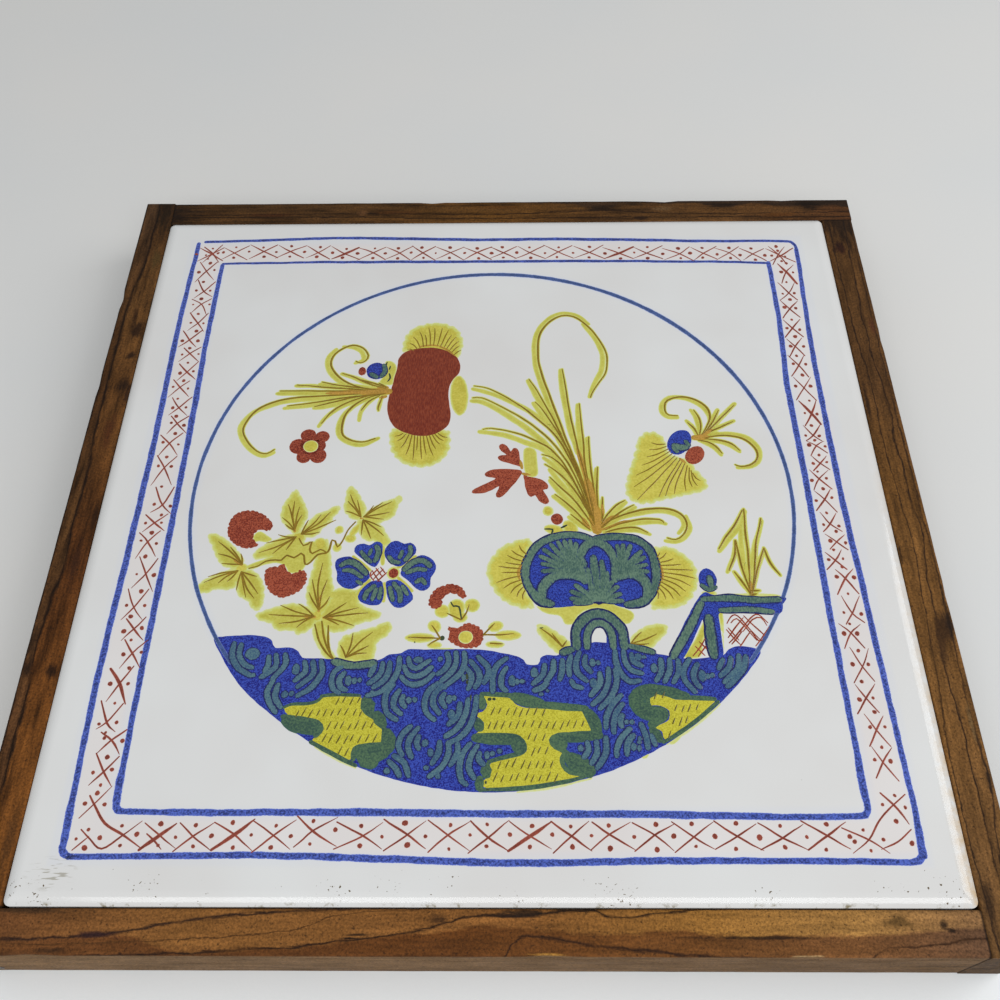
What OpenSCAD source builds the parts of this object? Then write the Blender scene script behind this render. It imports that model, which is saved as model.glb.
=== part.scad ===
// A square painted tile set in a low wooden frame, used as a trivet.
// X runs to the right, Y to the back and Z up. The origin is the middle of the underside.

/* [Tile] */
// Side of the square tile
tile_w = 200; // [190:1:300]
// Thickness of the tile
tile_t = 8; // [6:0.5:10]
// Width of the rounded band along the tile's top edge
tile_ease_w = 3.2; // [2:0.1:4]
// Drop of the rounded band at the tile's edge
tile_ease_drop = 1.2; // [0.6:0.1:2]
// Radius of the tile's corners seen from above
tile_corner_r = 1.5; // [0.5:0.1:3]
// Height of the tile's top above the rails
tile_proud = 1; // [0.4:0.1:2]
// Number of keying grooves across the tile's back
key_count = 9; // [3:1:15]
// Width of one keying groove
key_w = 8; // [4:0.5:10]
// Depth of the keying grooves
key_depth = 0.8; // [0.4:0.1:1.5]
// Plain margin round the keying grooves
key_margin = 10; // [5:1:20]

/* [Frame] */
// Width of each rail seen from above
rail_w = 9.2; // [8:0.1:20]
// Height of each rail
rail_h = 20; // [18:0.5:30]
// Rounding of the rails' long edges
rail_ease = 0.8; // [0.3:0.1:1.5]
// Rounding of each rail's open corner
rail_corner_r = 1.3; // [0.5:0.1:3]
// Gap between the tile and the rails
tile_joint = 0.2; // [0.1:0.1:1]

/* [Base] */
// Thickness of the base panel
panel_t = 4; // [3:0.5:5]
// Depth to which the panel is let into the rails
panel_let_in = 3; // [2:0.5:4]
// Clearance round and above the panel in its grooves
panel_play = 0.1; // [0.05:0.05:0.3]
// Thickness of the adhesive bed over the panel
bed_t = 2.5; // [1.5:0.5:4]
// How far the adhesive stays back from the tile's edge
bed_margin = 4; // [2:0.5:8]

/* [Brads] */
// Diameter of a brad's shank
brad_d = 1.4; // [1:0.1:1.8]
// Length of a brad
brad_l = 24; // [18:1:40]
// Diameter of a brad's head
brad_head_d = 2.4; // [2:0.1:3]
// Thickness of a brad's head
brad_head_t = 0.8; // [0.5:0.1:1.2]

/* [Painting] */
// Thickness of the fired colours
colour_t = 0.15; // [0.1:0.05:0.3]
// Bare glaze left between two colours
colour_gap = 0.15; // [0.1:0.05:0.25]
// Plain glaze between the tile's edge and the middle of the outer line
border_margin = 9.5; // [7:0.5:14]
// Width of the border, from the outer line to the inner one, middle to middle
border_w = 9; // [8:0.5:12]
// Width of the two straight border lines
line_w = 1.4; // [1:0.1:2]
// Plain glaze between the inner line and the ring, middle to middle
ring_margin = 5.2; // [4:0.1:12]
// Width of the ring's line
ring_line_w = 0.9; // [0.6:0.1:1.5]
// Distance from the tile's middle to the ring's middle, towards the back
ring_lift = 0.5; // [0:0.1:2]
// Number of crosses in each side of the border
cross_count = 20; // [12:1:24]
// Plain glaze between the lattice's points and the border's lines
lattice_margin = 0.9; // [0.5:0.1:1.5]
// Width of a lattice stroke at its peaks
lattice_stroke_w = 0.7; // [0.5:0.05:1]
// Diameter of a lattice dot
dot_d = 1.2; // [0.8:0.1:1.6]
// Width of a fine brown stroke
fine_w = 0.6; // [0.4:0.1:0.9]
// Width of a yellow feather
feather_w = 1.6; // [1.2:0.1:2.4]
// Width of one teal stroke
teal_w = 1.2; // [0.8:0.1:1.5]
// Width of one teal crescent in the blue ground
crescent_w = 2.4; // [1.6:0.1:3]
// Rim between the bloom's outer edge and its blue ground
bloom_rim_w = 1.6; // [1:0.1:2.2]

/* [Hidden] */
$fn = 16;

// Heights, from the rails' underside up
tile_top = rail_h + tile_proud;
tile_bottom = tile_top - tile_t;
panel_top = tile_bottom - bed_t;
panel_bottom = panel_top - panel_t;

// Half widths, from the middle outwards
inner_half = tile_w / 2 + tile_joint;
outer_half = inner_half + rail_w;
groove_half = inner_half + panel_let_in;
panel_half = groove_half - panel_play;
rail_l = inner_half + outer_half;

// Circle that rounds the tile's top edge: it meets the flat top smoothly
tile_ease_r = (tile_ease_w * tile_ease_w + tile_ease_drop * tile_ease_drop) / (2 * tile_ease_drop);
tile_flat_half = tile_w / 2 - tile_ease_w;

// Heights of the two brads in a corner, as shares of the rail's height
brad_height_shares = [0.2, 0.78];

// Half widths of the border's two lines, and of the middle line of its lattice
outer_line_half = tile_w / 2 - border_margin;
inner_line_half = outer_line_half - border_w;
lattice_half = (outer_line_half + inner_line_half) / 2;
lattice_across = border_w - line_w - 2 * lattice_margin;
cross_pitch = 2 * lattice_half / cross_count;

// Radius of the ring, and one hundredth of it. The picture's places are such hundredths.
ring_r = inner_line_half - ring_margin;
unit = ring_r / 100;

// Helpers that draw curves

// Place on a circle at an angle
function polar(r, a) = [r * cos(a), r * sin(a)];

// Place between b and c on a smooth curve through a, b, c and d
function smooth_at(a, b, c, d, t) =
    b + (c - a) * t / 2 + (2 * a - 5 * b + 4 * c - d) * t * t / 2 + (3 * b - a - 3 * c + d) * t * t * t / 2;

// Closed smooth curve through places given in hundredths
function smooth_loop(p, steps) =
    let (n = len(p))
    [for (i = [0 : n - 1], k = [0 : steps - 1])
        unit * smooth_at(p[i], p[(i + 1) % n], p[(i + 2) % n], p[(i + 3) % n], k / steps)];

// Open smooth curve through places given in hundredths
function smooth_line(p, steps) =
    let (n = len(p), q = concat([2 * p[0] - p[1]], p, [2 * p[n - 1] - p[n - 2]]))
    concat(
        [for (i = [0 : n - 2], k = [0 : steps - 1])
            unit * smooth_at(q[i], q[i + 1], q[i + 2], q[i + 3], k / steps)],
        [unit * p[n - 1]]);

// Left-hand normal of a line of places at one of them
function normal_at(p, i) =
    let (a = p[max(i - 1, 0)], b = p[min(i + 1, len(p) - 1)], d = b - a)
    [-d[1], d[0]] / norm(d);

// Stroke along a line of places: full width in the middle and tip_share of it at both ends
module stroke(p, width, tip_share = 0.5) {
    n = len(p) - 1;
    half = [for (i = [0 : n]) width / 2 * (tip_share + (1 - tip_share) * sin(180 * i / n))];
    polygon(concat(
        [for (i = [0 : n]) p[i] + half[i] * normal_at(p, i)],
        [for (i = [n : -1 : 0]) p[i] - half[i] * normal_at(p, i)]));
}

module brush(shares, width, steps) {
    stroke(smooth_line(shares, steps), width);
}

module brushes(tables, width, steps = 2) {
    for (shares = tables) brush(shares, width, steps);
}

module loops(tables) {
    for (shares = tables) polygon(smooth_loop(shares, 1));
}

// Round or oval spot: [x, y, half width, half height, turn]
module spot(shares) {
    translate(unit * [shares[0], shares[1]])
        rotate(shares[4])
        scale([shares[2], shares[3]])
        circle(r = unit, $fn = 12);
}

// Spot with a scalloped edge
module scalloped(shares, lobes, depth_share = 0.06) {
    translate(unit * [shares[0], shares[1]])
        polygon([for (i = [0 : 2 * lobes - 1])
            let (p = polar(unit * (1 - depth_share * (i % 2)), 180 * i / lobes))
            [p[0] * shares[2], p[1] * shares[3]]]);
}

// Leaf from its base to its tip, as wide as width_share of its length
leaf_belly_share = 0.3;
leaf_neck_share = 0.65;
leaf_neck_w_share = 0.8;
module leaf(base, tip, width_share = 0.42) {
    d = tip - base;
    side = [-d[1], d[0]] * width_share / 2;
    belly = base + d * leaf_belly_share;
    neck = base + d * leaf_neck_share;
    neck_side = side * leaf_neck_w_share;
    polygon(smooth_loop([base, belly + side, neck + neck_side, tip, neck - neck_side, belly - side], 1));
}

// Sprig: leaves from one place to several tips, joined by a bud
module sprig(table) {
    for (tip = table[1]) leaf(table[0], tip);
    translate(unit * table[0])
        circle(r = unit * sprig_bud_share, $fn = 8);
}

// Part of a ring between two angles
module arc_band(r, width, from, to, sides = 5) {
    polygon(concat(
        [for (i = [0 : sides]) polar(r + width / 2, from + (to - from) * i / sides)],
        [for (i = [sides : -1 : 0]) polar(r - width / 2, from + (to - from) * i / sides)]));
}

// Picture: places in hundredths of the ring's radius

// Top edge of the blue ground, from left to right, carried on past the ring below
ground_shares = [
    [-95, -54], [-82, -54], [-76, -52.5], [-69, -53], [-65, -56.5], [-59, -57], [-56, -60], [-46, -60.5],
    [-39, -62], [-34, -61], [-30, -58.5], [-22, -57], [-12, -57.5], [-2, -57.5], [6, -59], [10, -60.5],
    [11, -62.5], [14, -62.5], [15.5, -60], [24, -58.5], [31, -55.5], [42, -56], [48, -58.5], [60, -61],
    [68, -60], [73, -57], [80, -57], [95, -60], [95, -105], [-95, -105]
];

// Yellow islands in the ground
island_shares = [
    [[-60, -76], [-50, -74.5], [-49, -72.5], [-38, -72.5], [-36, -76], [-31, -82], [-31, -87], [-38, -88],
        [-40, -92], [-52, -85.5], [-48.5, -83], [-50, -80.5]],
    [[-3, -72.5], [4, -73], [9, -75.5], [27, -77], [30, -82.5], [18, -84], [18, -87.5], [22, -90],
        [21, -94], [26, -96], [12, -99.5], [-2, -101], [-1, -95], [3, -91], [10, -89], [9, -85],
        [-4, -84], [-2, -81], [-4.5, -78]],
    [[46, -71], [51, -71.5], [54, -74], [68, -73], [52, -85.5], [48, -82.5], [52.5, -78], [46.5, -75]]
];

// Green banks round the islands, and the width of their strokes
bank_w_share = 3.6;
bank_shares = [
    [[-61, -79], [-55, -80.5], [-50, -83]],
    [[-36, -74], [-33, -78], [-29, -84], [-32, -89], [-37, -91]],
    [[5, -73], [12, -75], [20, -76], [28, -77]],
    [[28, -77], [31, -81], [33, -85], [25, -85.5], [18, -86.5]],
    [[21, -91], [25, -93.5], [30, -96.5]],
    [[-4, -85.5], [3, -86], [9.5, -87.5]],
    [[-2, -98], [-1, -94], [5, -91]],
    [[51, -78], [44, -77], [42, -73], [48, -69.5], [56, -71.5], [65, -72.5]]
];

// Teal crescents in the ground: [x, y, outer radius, angle that each bulges to]
crescent_half_angle = 60;
crescent_shares = [
    [-72, -57.5, 6.5, 215], [-66, -62.5, 5.5, 315], [-57, -63, 6.5, 320], [-59, -71, 6, 190],
    [-43, -67, 5.5, 180], [-34, -65, 5.5, 340], [-23, -62.5, 6.5, 270], [-26, -74.5, 6, 180],
    [-14, -64, 6, 10], [7, -66, 6, 170], [19, -64, 6, 340], [30, -62, 6, 215], [45, -60.5, 6.5, 225],
    [50, -63.5, 5.5, 350], [64, -65, 6.5, 180], [70, -61, 6.5, 320], [31, -70, 6, 20],
    [-12, -75, 6.5, 170], [-12, -80, 7, 330], [-21, -87, 5.5, 170], [-4, -92, 6.5, 190],
    [-17, -93, 5, 350], [41, -80, 6, 170], [42, -88, 5.5, 150]
];

// Outline of the wide blue bloom
bloom_shares = [
    [9.5, -31], [11, -24], [16, -18.5], [25, -16.3], [33, -18.5], [42, -17], [50, -20], [53.5, -30],
    [51, -39.5], [43, -43.5], [33, -41.3], [24, -43], [15, -41]
];
// Fans of teal strokes in the bloom: [x, y, length, first angle, last angle]
bloom_fan_shares = [[27, -31, 11.5, 95, 185], [41, -31, 9.5, -9, 84], [33, -42, 9, 45, 135]];
bloom_fan_strokes = 6;
bloom_fan_start_share = 0.35;

// Outline of the long red bloom
bean_shares = [
    [-35, 53], [-32, 60], [-24, 62.8], [-15, 60], [-11.8, 53], [-14.5, 46], [-15.8, 40], [-14.8, 29],
    [-19, 23.5], [-27, 22.5], [-35, 28], [-37, 38], [-35.5, 47]
];

// Lobes of the tulip, from base to tip
tulip_shares = [
    [[10, 9], [3, 18.5]], [[10, 9], [2.5, 13]], [[10, 9], [8.5, 17]],
    [[10, 6.5], [-2.5, 6.5]], [[10, 6.5], [-6.5, -0.5]], [[10, 6.5], [2, -2.5]],
    [[10.5, 6], [18.5, 2]], [[10.5, 6], [18, -5]], [[10.5, 6], [13.5, -2]]
];

// Blue flower: its middle, and the reach and half size of its petals, sideways and upwards
flower_at_shares = [-33.5, -31.3];
flower_petal_shares = [11, 9.4, 5.2, 4.2];
flower_petals = 6;

// Small red flower: its middle, and the reach and radius of its petals
star_at_shares = [-62.5, 18.3];
star_petal_shares = [4.2, 3.4];
star_petals = 5;

// Carnations: [x, y, half width, half height, turn], and the notch in each
carnation_shares = [[-79, -14.5, 7.3, 6.8, 0], [-64.5, -33.8, 7, 5.9, 0], [-7.5, -53, 5.3, 4.2, 0]];
carnation_notch_shares = [[-74.5, -18, 2.8, 2.2, 0], [-63, -28.4, 3.4, 2.2, 0]];
// Half carnation: [x, y, radius, width]
half_carnation_shares = [-12.5, -40.5, 4.9, 3.2];
half_carnation_angle = 200;
carnation_lobes = 12;

// Buds and berries: [x, y, half width, half height, turn]
red_ball_shares = [[-47.2, 51.3, 1.5, 1.9, 0], [21.3, -11.5, 2.1, 2.1, 0], [68.6, 13.9, 3, 4.2, -35]];
blue_ball_shares = [[-41.7, 51.3, 3.9, 3.9, 0], [63.8, 19.3, 4, 5.7, -30], [68, -33.8, 2.9, 4.2, 0]];

// Yellow fans and patches behind the blooms
fan_lobes = 12;
fan_shares = [[-22.5, 63, 11, 10.8], [-25, 20, 10.4, 10], [10, -31, 11.2, 12], [54, -33, 10.8, 11]];
patch_shares = [[-11.8, 40, 3.4, 9.2, 0], [12.6, 10.8, 2.7, 6.2, 0], [33, -45, 16, 5, 0]];
wing_shares = [
    [57, 20], [52.5, 23.5], [49, 18], [46, 9], [44, -3], [50, -5.3], [60, -3], [71.5, 0.5], [67, 9]
];

// Yellow hearts of the red flowers
heart_shares = [[-7.5, -53.3, 2.2, 2.2, 0], [-62.2, 18.2, 2.7, 2.7, 0]];

// Sprigs of yellow leaves: base and tips
sprig_bud_share = 1.5;
sprig_shares = [
    [[-63, -17], [[-66, -0.5], [-51, -7], [-75.5, -25], [-55, -27]]],
    [[-42.5, -11], [[-47.5, 1], [-30, -3], [-33.5, -19.5]]],
    [[-79, -28.5], [[-91, -17], [-92, -37], [-73, -43.5]]],
    [[-54, -46], [[-54.5, -24], [-72.5, -46], [-34, -46]]],
    [[-44, -60.5], [[-30.5, -49], [-47, -50]]],
    [[-14, -53.5], [[-26, -54.5], [-18, -47]]],
    [[-1, -53], [[9.5, -52.5], [3.5, -47.5]]],
    [[-9, -48], [[-14, -42.5], [-4.5, -42]]],
    [[22, -58], [[14.5, -50]]],
    [[42, -56], [[53.5, -50.5]]]
];

// Brown scrolls and yellow feathers, from their root to their tip
scroll_shares = [
    [[-38, 42], [-52, 45], [-58, 54], [-52, 63.3], [-45.8, 59], [-49, 55.3]],
    [[-38, 41.5], [-62, 39.5], [-80, 36], [-86.3, 26], [-82, 16.5], [-74.5, 17]],
    [[-38, 41], [-50, 34], [-51, 23], [-40, 21.5]],
    [[34, -15], [27, 15], [16.3, 52], [19, 71], [27, 77.3], [37, 69], [41, 56], [34.5, 39]],
    [[34, -15], [44, -9.5], [56, -7.5], [63, -13], [57, -19]],
    [[70, 20], [75, 30], [67, 39], [60.3, 35], [64, 30.8]],
    [[70, 20], [81, 22], [89.3, 16], [82, 9.5]]
];
feather_shares = [
    [[-38, 42], [-75.5, 42.5]], [[-38, 42], [-60, 44], [-70, 45]], [[-38, 41], [-58, 38], [-72, 35.5]],
    [[-38, 41], [-53, 36], [-59, 28.5]], [[-38, 41], [-43, 37], [-46, 30]],
    [[-38, 42], [-46, 45], [-54, 50]],
    [[34, -15], [27, 7], [10, 34], [-6.5, 44]], [[34, -15], [25, 5], [10, 29], [-7, 39]],
    [[34, -15], [27, 6], [12, 21], [-4, 25]], [[34, -15], [25, 24], [12.5, 47]],
    [[34, -15], [30, 15], [24.5, 52]], [[34, -15], [32, 10], [30, 36]], [[34, -15], [34, 5], [33, 21]],
    [[34, -15], [26, 7], [17, 14]], [[34, -15], [28, -2], [19.5, 5]], [[34, -15], [28, -8], [21, -2]],
    [[34, -15], [38, -8], [43.5, -4]], [[34, -15], [44, -12.5], [55.5, -12]],
    [[70, 20], [76, 26], [84, 35]], [[70, 20], [76, 24], [83, 28]], [[70, 20], [72, 27], [69, 33]],
    [[70, 20], [78, 20], [84, 16]], [[70, 20], [75, 18], [77.5, 14.5]]
];
grass_shares = [
    [[81, -38], [82.5, -8]], [[82.5, -8], [73, -23]],
    [[81, -38], [78.5, -19.5]], [[78.5, -19.5], [74.5, -30]],
    [[81, -38], [87.5, -12]], [[82, -35], [87, -22]], [[87, -22], [91, -32]]
];
vine_shares = [
    [
        [-77, -29], [-71, -26.5], [-65, -25], [-60, -24.5],
        [-57.5, -27.5], [-53, -24], [-50, -21.5], [-44, -13]
    ],
    [[-61, -18], [-59, -21.5], [-57, -24], [-53, -23]],
    [[-54, -48], [-51, -55], [-47, -60]]
];

// Little bridge: the middle of its arch, the radii of its three teal rings and of its hole, and how
// far its body reaches below that middle
arch_at_shares = [33, -54.5];
arch_ring_shares = [8, 5.6, 3.4];
arch_hole_share = 2.2;
arch_foot_share = 2;

// Blue fence and the teal strokes along it
fence_w_share = 4.4;
fence_shares = [[[66.5, -41.5], [92, -42.5]], [[67, -41], [56, -60]], [[67.5, -43], [68, -60]]];
fence_stripe_shares = [[[70, -41.7], [89, -42.4]], [[65.3, -44], [57.2, -58]], [[67.7, -47], [68, -57.5]]];

// Red netting behind the fence and in the middle of the blue flower
net_shares = [
    [[73, -46], [82, -56]], [[78, -46], [86, -54]], [[72, -52], [77, -58]],
    [[73, -56], [84, -46]], [[72, -50], [76.5, -46]], [[78, -57], [86, -49]],
    [[-37.5, -30], [-33.5, -33.5]], [[-37.5, -32.8], [-33.5, -29.6]]
];

// Colours of the painting as flat areas

module ring_disc(grow = 0) {
    circle(r = ring_r + grow, $fn = 64);
}

module island_area() {
    intersection() {
        ring_disc();
        loops(island_shares);
    }
}

module bank_area() {
    intersection() {
        ring_disc();
        brushes(bank_shares, unit * bank_w_share, 3);
    }
}

module ground_area() {
    intersection() {
        ring_disc(ring_line_w / 2);
        polygon(smooth_loop(ground_shares, 1));
    }
}

module bloom_area() {
    polygon(smooth_loop(bloom_shares, 2));
}

module crescents() {
    intersection() {
        offset(delta = -line_w / 2) ground_area();
        for (c = crescent_shares)
            translate(unit * [c[0], c[1]])
            arc_band(unit * c[2] - crescent_w / 2, crescent_w, c[3] - crescent_half_angle,
                c[3] + crescent_half_angle, 3);
    }
}

module bloom_rim() {
    difference() {
        bloom_area();
        offset(delta = -bloom_rim_w) bloom_area();
    }
}

module bloom_fans() {
    for (f = bloom_fan_shares, i = [0 : bloom_fan_strokes - 1])
        let (a = f[3] + (f[4] - f[3]) * i / (bloom_fan_strokes - 1), at = [f[0], f[1]])
        stroke(unit * [at + polar(f[2] * bloom_fan_start_share, a), at + polar(f[2], a)], teal_w, 1);
}

module flower_petal_set() {
    translate(unit * flower_at_shares)
        for (i = [0 : flower_petals - 1])
        let (a = 360 * i / flower_petals)
        translate(unit * [flower_petal_shares[0] * cos(a), flower_petal_shares[1] * sin(a)])
        rotate(a)
        scale([flower_petal_shares[2], flower_petal_shares[3]])
        circle(r = unit, $fn = 12);
}

module arch_bands() {
    translate(unit * arch_at_shares)
        for (r = arch_ring_shares)
        arc_band(unit * r, teal_w, 0, 180, 8);
}

module arch_body() {
    outer_r = unit * arch_ring_shares[0] + teal_w;
    arch_foot = unit * arch_foot_share;
    translate(unit * arch_at_shares)
        difference() {
            intersection() {
                circle(r = outer_r, $fn = 24);
                translate([-outer_r, -arch_foot])
                    square([2 * outer_r, outer_r + arch_foot]);
            }
            circle(r = unit * arch_hole_share);
        }
}

module fence_body() {
    intersection() {
        ring_disc();
        for (shares = fence_shares)
            stroke(unit * shares, unit * fence_w_share, 1);
    }
}

module blue_bloom_area() {
    bloom_area();
    flower_petal_set();
    arch_body();
    fence_body();
    for (shares = blue_ball_shares) spot(shares);
}

module teal_area() {
    difference() {
        crescents();
        room() island_area();
        room() bank_area();
        room() arch_body();
        room() fence_body();
    }
    bloom_rim();
    bloom_fans();
    arch_bands();
    brushes(fence_stripe_shares, teal_w, 1);
}

module carnations() {
    difference() {
        for (shares = carnation_shares) scalloped(shares, carnation_lobes);
        for (shares = carnation_notch_shares) spot(shares);
    }
    translate(unit * [half_carnation_shares[0], half_carnation_shares[1]])
        arc_band(unit * half_carnation_shares[2], unit * half_carnation_shares[3], 0,
            half_carnation_angle, 8);
}

module star_flower() {
    translate(unit * star_at_shares)
        for (i = [0 : star_petals - 1])
        translate(unit * polar(star_petal_shares[0], 90 + 360 * i / star_petals))
        circle(r = unit * star_petal_shares[1], $fn = 12);
}

module red_bloom_area() {
    difference() {
        polygon(smooth_loop(bean_shares, 2));
        spot(patch_shares[0]);
    }
    for (lobe = tulip_shares) leaf(lobe[0], lobe[1], 0.35);
    difference() {
        union() {
            carnations();
            star_flower();
        }
        for (shares = heart_shares) spot(shares);
    }
    for (shares = red_ball_shares) spot(shares);
    brushes(net_shares, lattice_stroke_w, 1);
}

module yellow_leaf_area() {
    for (shares = fan_shares) scalloped(shares, fan_lobes);
    for (shares = patch_shares) spot(shares);
    polygon(smooth_loop(wing_shares, 2));
    for (shares = heart_shares) spot(shares);
    for (table = sprig_shares) sprig(table);
    brushes(feather_shares, feather_w);
}

module brown_area() {
    brushes(scroll_shares, fine_w, 3);
    brushes(grass_shares, fine_w, 1);
    brushes(vine_shares, fine_w);
}

// Room for a colour and for the bare glaze round it
module room() {
    offset(delta = colour_gap)
        children();
}

// Raises a flat area of the picture into a coat of fired colour. Slivers narrower than the gap
// are lost, and what they joined ends a little short of touching.
module coat() {
    translate([0, ring_lift, tile_top])
        linear_extrude(colour_t)
        offset(delta = colour_gap / 3)
        offset(delta = -colour_gap / 2)
        children();
}

// Square line, from the middle to the middle of its sides
module square_line(half) {
    translate([0, -ring_lift])
        difference() {
            square(2 * half + line_w, center = true);
            square(2 * half - line_w, center = true);
        }
}

module blue_lines() {
    color("royalblue")
        coat() {
            square_line(outer_line_half);
            square_line(inner_line_half);
            difference() {
                ring_disc(ring_line_w / 2);
                ring_disc(-ring_line_w / 2);
                room() ground_area();
                room() fence_body();
            }
        }
}

module blue_ground() {
    color("mediumblue")
        coat()
        difference() {
            ground_area();
            room() teal_area();
            room() island_area();
            room() bank_area();
            room() blue_bloom_area();
        }
}

module blue_blooms() {
    color("mediumblue")
        coat()
        difference() {
            blue_bloom_area();
            room() teal_area();
        }
}

module teal_strokes() {
    color("cadetblue")
        coat()
        teal_area();
}

module green_banks() {
    color("darkseagreen")
        coat()
        bank_area();
}

// One side of the border's lattice: two crossing zigzags, and a dot in each gap
module lattice_side() {
    for (first = [-1, 1])
        stroke([for (i = [0 : cross_count])
            let (side = first * (1 - 2 * (i % 2)))
            [(i - 0.5) * cross_pitch - lattice_half, side * lattice_across / 2 - lattice_half]],
            lattice_stroke_w, 1);
    for (i = [0 : cross_count - 1])
        translate([(i + 0.5) * cross_pitch - lattice_half, -lattice_half])
        circle(d = dot_d, $fn = 4);
}

module red_lattice() {
    inside_outer_line = 2 * outer_line_half - line_w - 2 * colour_gap;
    color("indianred")
        coat()
        translate([0, -ring_lift])
        intersection() {
            square(inside_outer_line, center = true);
            for (side = [0 : 3])
                rotate(90 * side)
                lattice_side();
        }
}

module red_blooms() {
    color("firebrick")
        coat()
        difference() {
            red_bloom_area();
            room() ground_area();
            room() blue_bloom_area();
        }
}

module yellow_islands() {
    color("gold")
        coat()
        difference() {
            island_area();
            room() bank_area();
        }
}

module yellow_leaves() {
    color("khaki")
        coat()
        difference() {
            yellow_leaf_area();
            room() ground_area();
            room() blue_bloom_area();
            room() red_bloom_area();
            room() brown_area();
        }
}

module brown_strokes() {
    color("saddlebrown")
        coat()
        difference() {
            brown_area();
            room() ground_area();
            room() blue_bloom_area();
            room() red_bloom_area();
        }
}

// Tile

// Section of the tile from side to side, with its rounded top edges
module tile_section() {
    translate([-tile_w / 2, 0])
        square([tile_w, tile_t - tile_ease_drop]);
    translate([-tile_flat_half, 0])
        square([2 * tile_flat_half, tile_t]);
    for (side = [-1, 1])
        intersection() {
            translate([side * tile_flat_half, tile_t - tile_ease_r])
                circle(r = tile_ease_r, $fn = 96);
            translate([side * (tile_w - tile_ease_w) / 2, tile_t / 2])
                square([tile_ease_w, tile_t], center = true);
        }
}

module tile_bar() {
    rotate([90, 0, 0])
        linear_extrude(tile_w, center = true)
        tile_section();
}

// Square with rounded corners, of a given width
module rounded_square(width, radius) {
    offset(r = radius)
        offset(delta = -radius)
        square(width, center = true);
}

// Keying grooves, drawn as the ribs that fill them
module key_ribs() {
    span = tile_w - 2 * key_margin;
    pitch = (span - key_w) / (key_count - 1);
    for (i = [0 : key_count - 1])
        translate([-span / 2 + i * pitch, -span / 2, tile_bottom])
        cube([key_w, span, key_depth]);
}

module tile() {
    color("whitesmoke")
        difference() {
            translate([0, 0, tile_bottom])
                intersection() {
                    tile_bar();
                    rotate(90) tile_bar();
                    linear_extrude(tile_t) rounded_square(tile_w, tile_corner_r);
                }
            key_ribs();
        }
}

module tile_adhesive() {
    bed_w = tile_w - 2 * bed_margin;
    color("gainsboro") {
        translate([-bed_w / 2, -bed_w / 2, panel_top])
            cube([bed_w, bed_w, bed_t]);
        key_ribs();
    }
}

// Base and frame

module base_panel() {
    color("peru")
        translate([-panel_half, -panel_half, panel_bottom])
        cube([2 * panel_half, 2 * panel_half, panel_t]);
}

// Room for the panel in the rails: it rests on the grooves' lower face
module panel_room() {
    translate([-groove_half, -groove_half, panel_bottom])
        cube([2 * groove_half, 2 * groove_half, panel_t + panel_play]);
}

// Front rail: it covers the left rail's end and butts against the right rail
module rail_blank() {
    translate([-outer_half, -outer_half, 0])
        intersection() {
            translate([rail_l, 0, 0])
                rotate([90, 0, -90])
                linear_extrude(rail_l)
                mirror([1, 0])
                offset(r = rail_ease)
                offset(delta = -rail_ease)
                square([rail_w, rail_h]);
            linear_extrude(rail_h)
                difference() {
                    square([rail_l, rail_w]);
                    difference() {
                        square(rail_corner_r);
                        translate([rail_corner_r, rail_corner_r])
                            circle(r = rail_corner_r);
                    }
                }
        }
}

// The two brads of the front left corner, driven from the front into the left rail's end
module brad_pair() {
    for (share = brad_height_shares)
        translate([-(inner_half + outer_half) / 2, -outer_half, rail_h * share])
        rotate([-90, 0, 0]) {
            cylinder(d = brad_d, h = brad_l);
            cylinder(d = brad_head_d, h = brad_head_t);
        }
}

// Rail in its place, by quarter turns from the front one
module rail(turns) {
    rotate(90 * turns)
        difference() {
            rail_blank();
            panel_room();
            brad_pair();
            rotate(90) brad_pair();
        }
}

module corner_brads() {
    color("slategray")
        for (turns = [0 : 3])
        rotate(90 * turns)
        brad_pair();
}

module rail_front() {
    color("peru") rail(0);
}

module rail_right() {
    color("sienna") rail(1);
}

module rail_back() {
    color("saddlebrown") rail(2);
}

module rail_left() {
    color("sienna") rail(3);
}

tile();
tile_adhesive();
base_panel();
rail_front();
rail_right();
rail_back();
rail_left();
corner_brads();
blue_lines();
blue_ground();
blue_blooms();
teal_strokes();
green_banks();
red_lattice();
red_blooms();
yellow_islands();
yellow_leaves();
brown_strokes();
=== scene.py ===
"""A painted wall tile in a low stained-wood frame, used as a trivet.

Everything is in metres. X runs to the right, Y to the back and Z up. The wood and the tile are shaped
from primitives. The fired colours lie on the glaze as thin coats, each stroke with thin rims and a
full middle, so that a coat's shader can read how thick the colour is from its height.
"""
import math
import random

import bmesh
import bpy
from mathutils import Matrix, Vector, geometry, kdtree, noise


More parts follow.
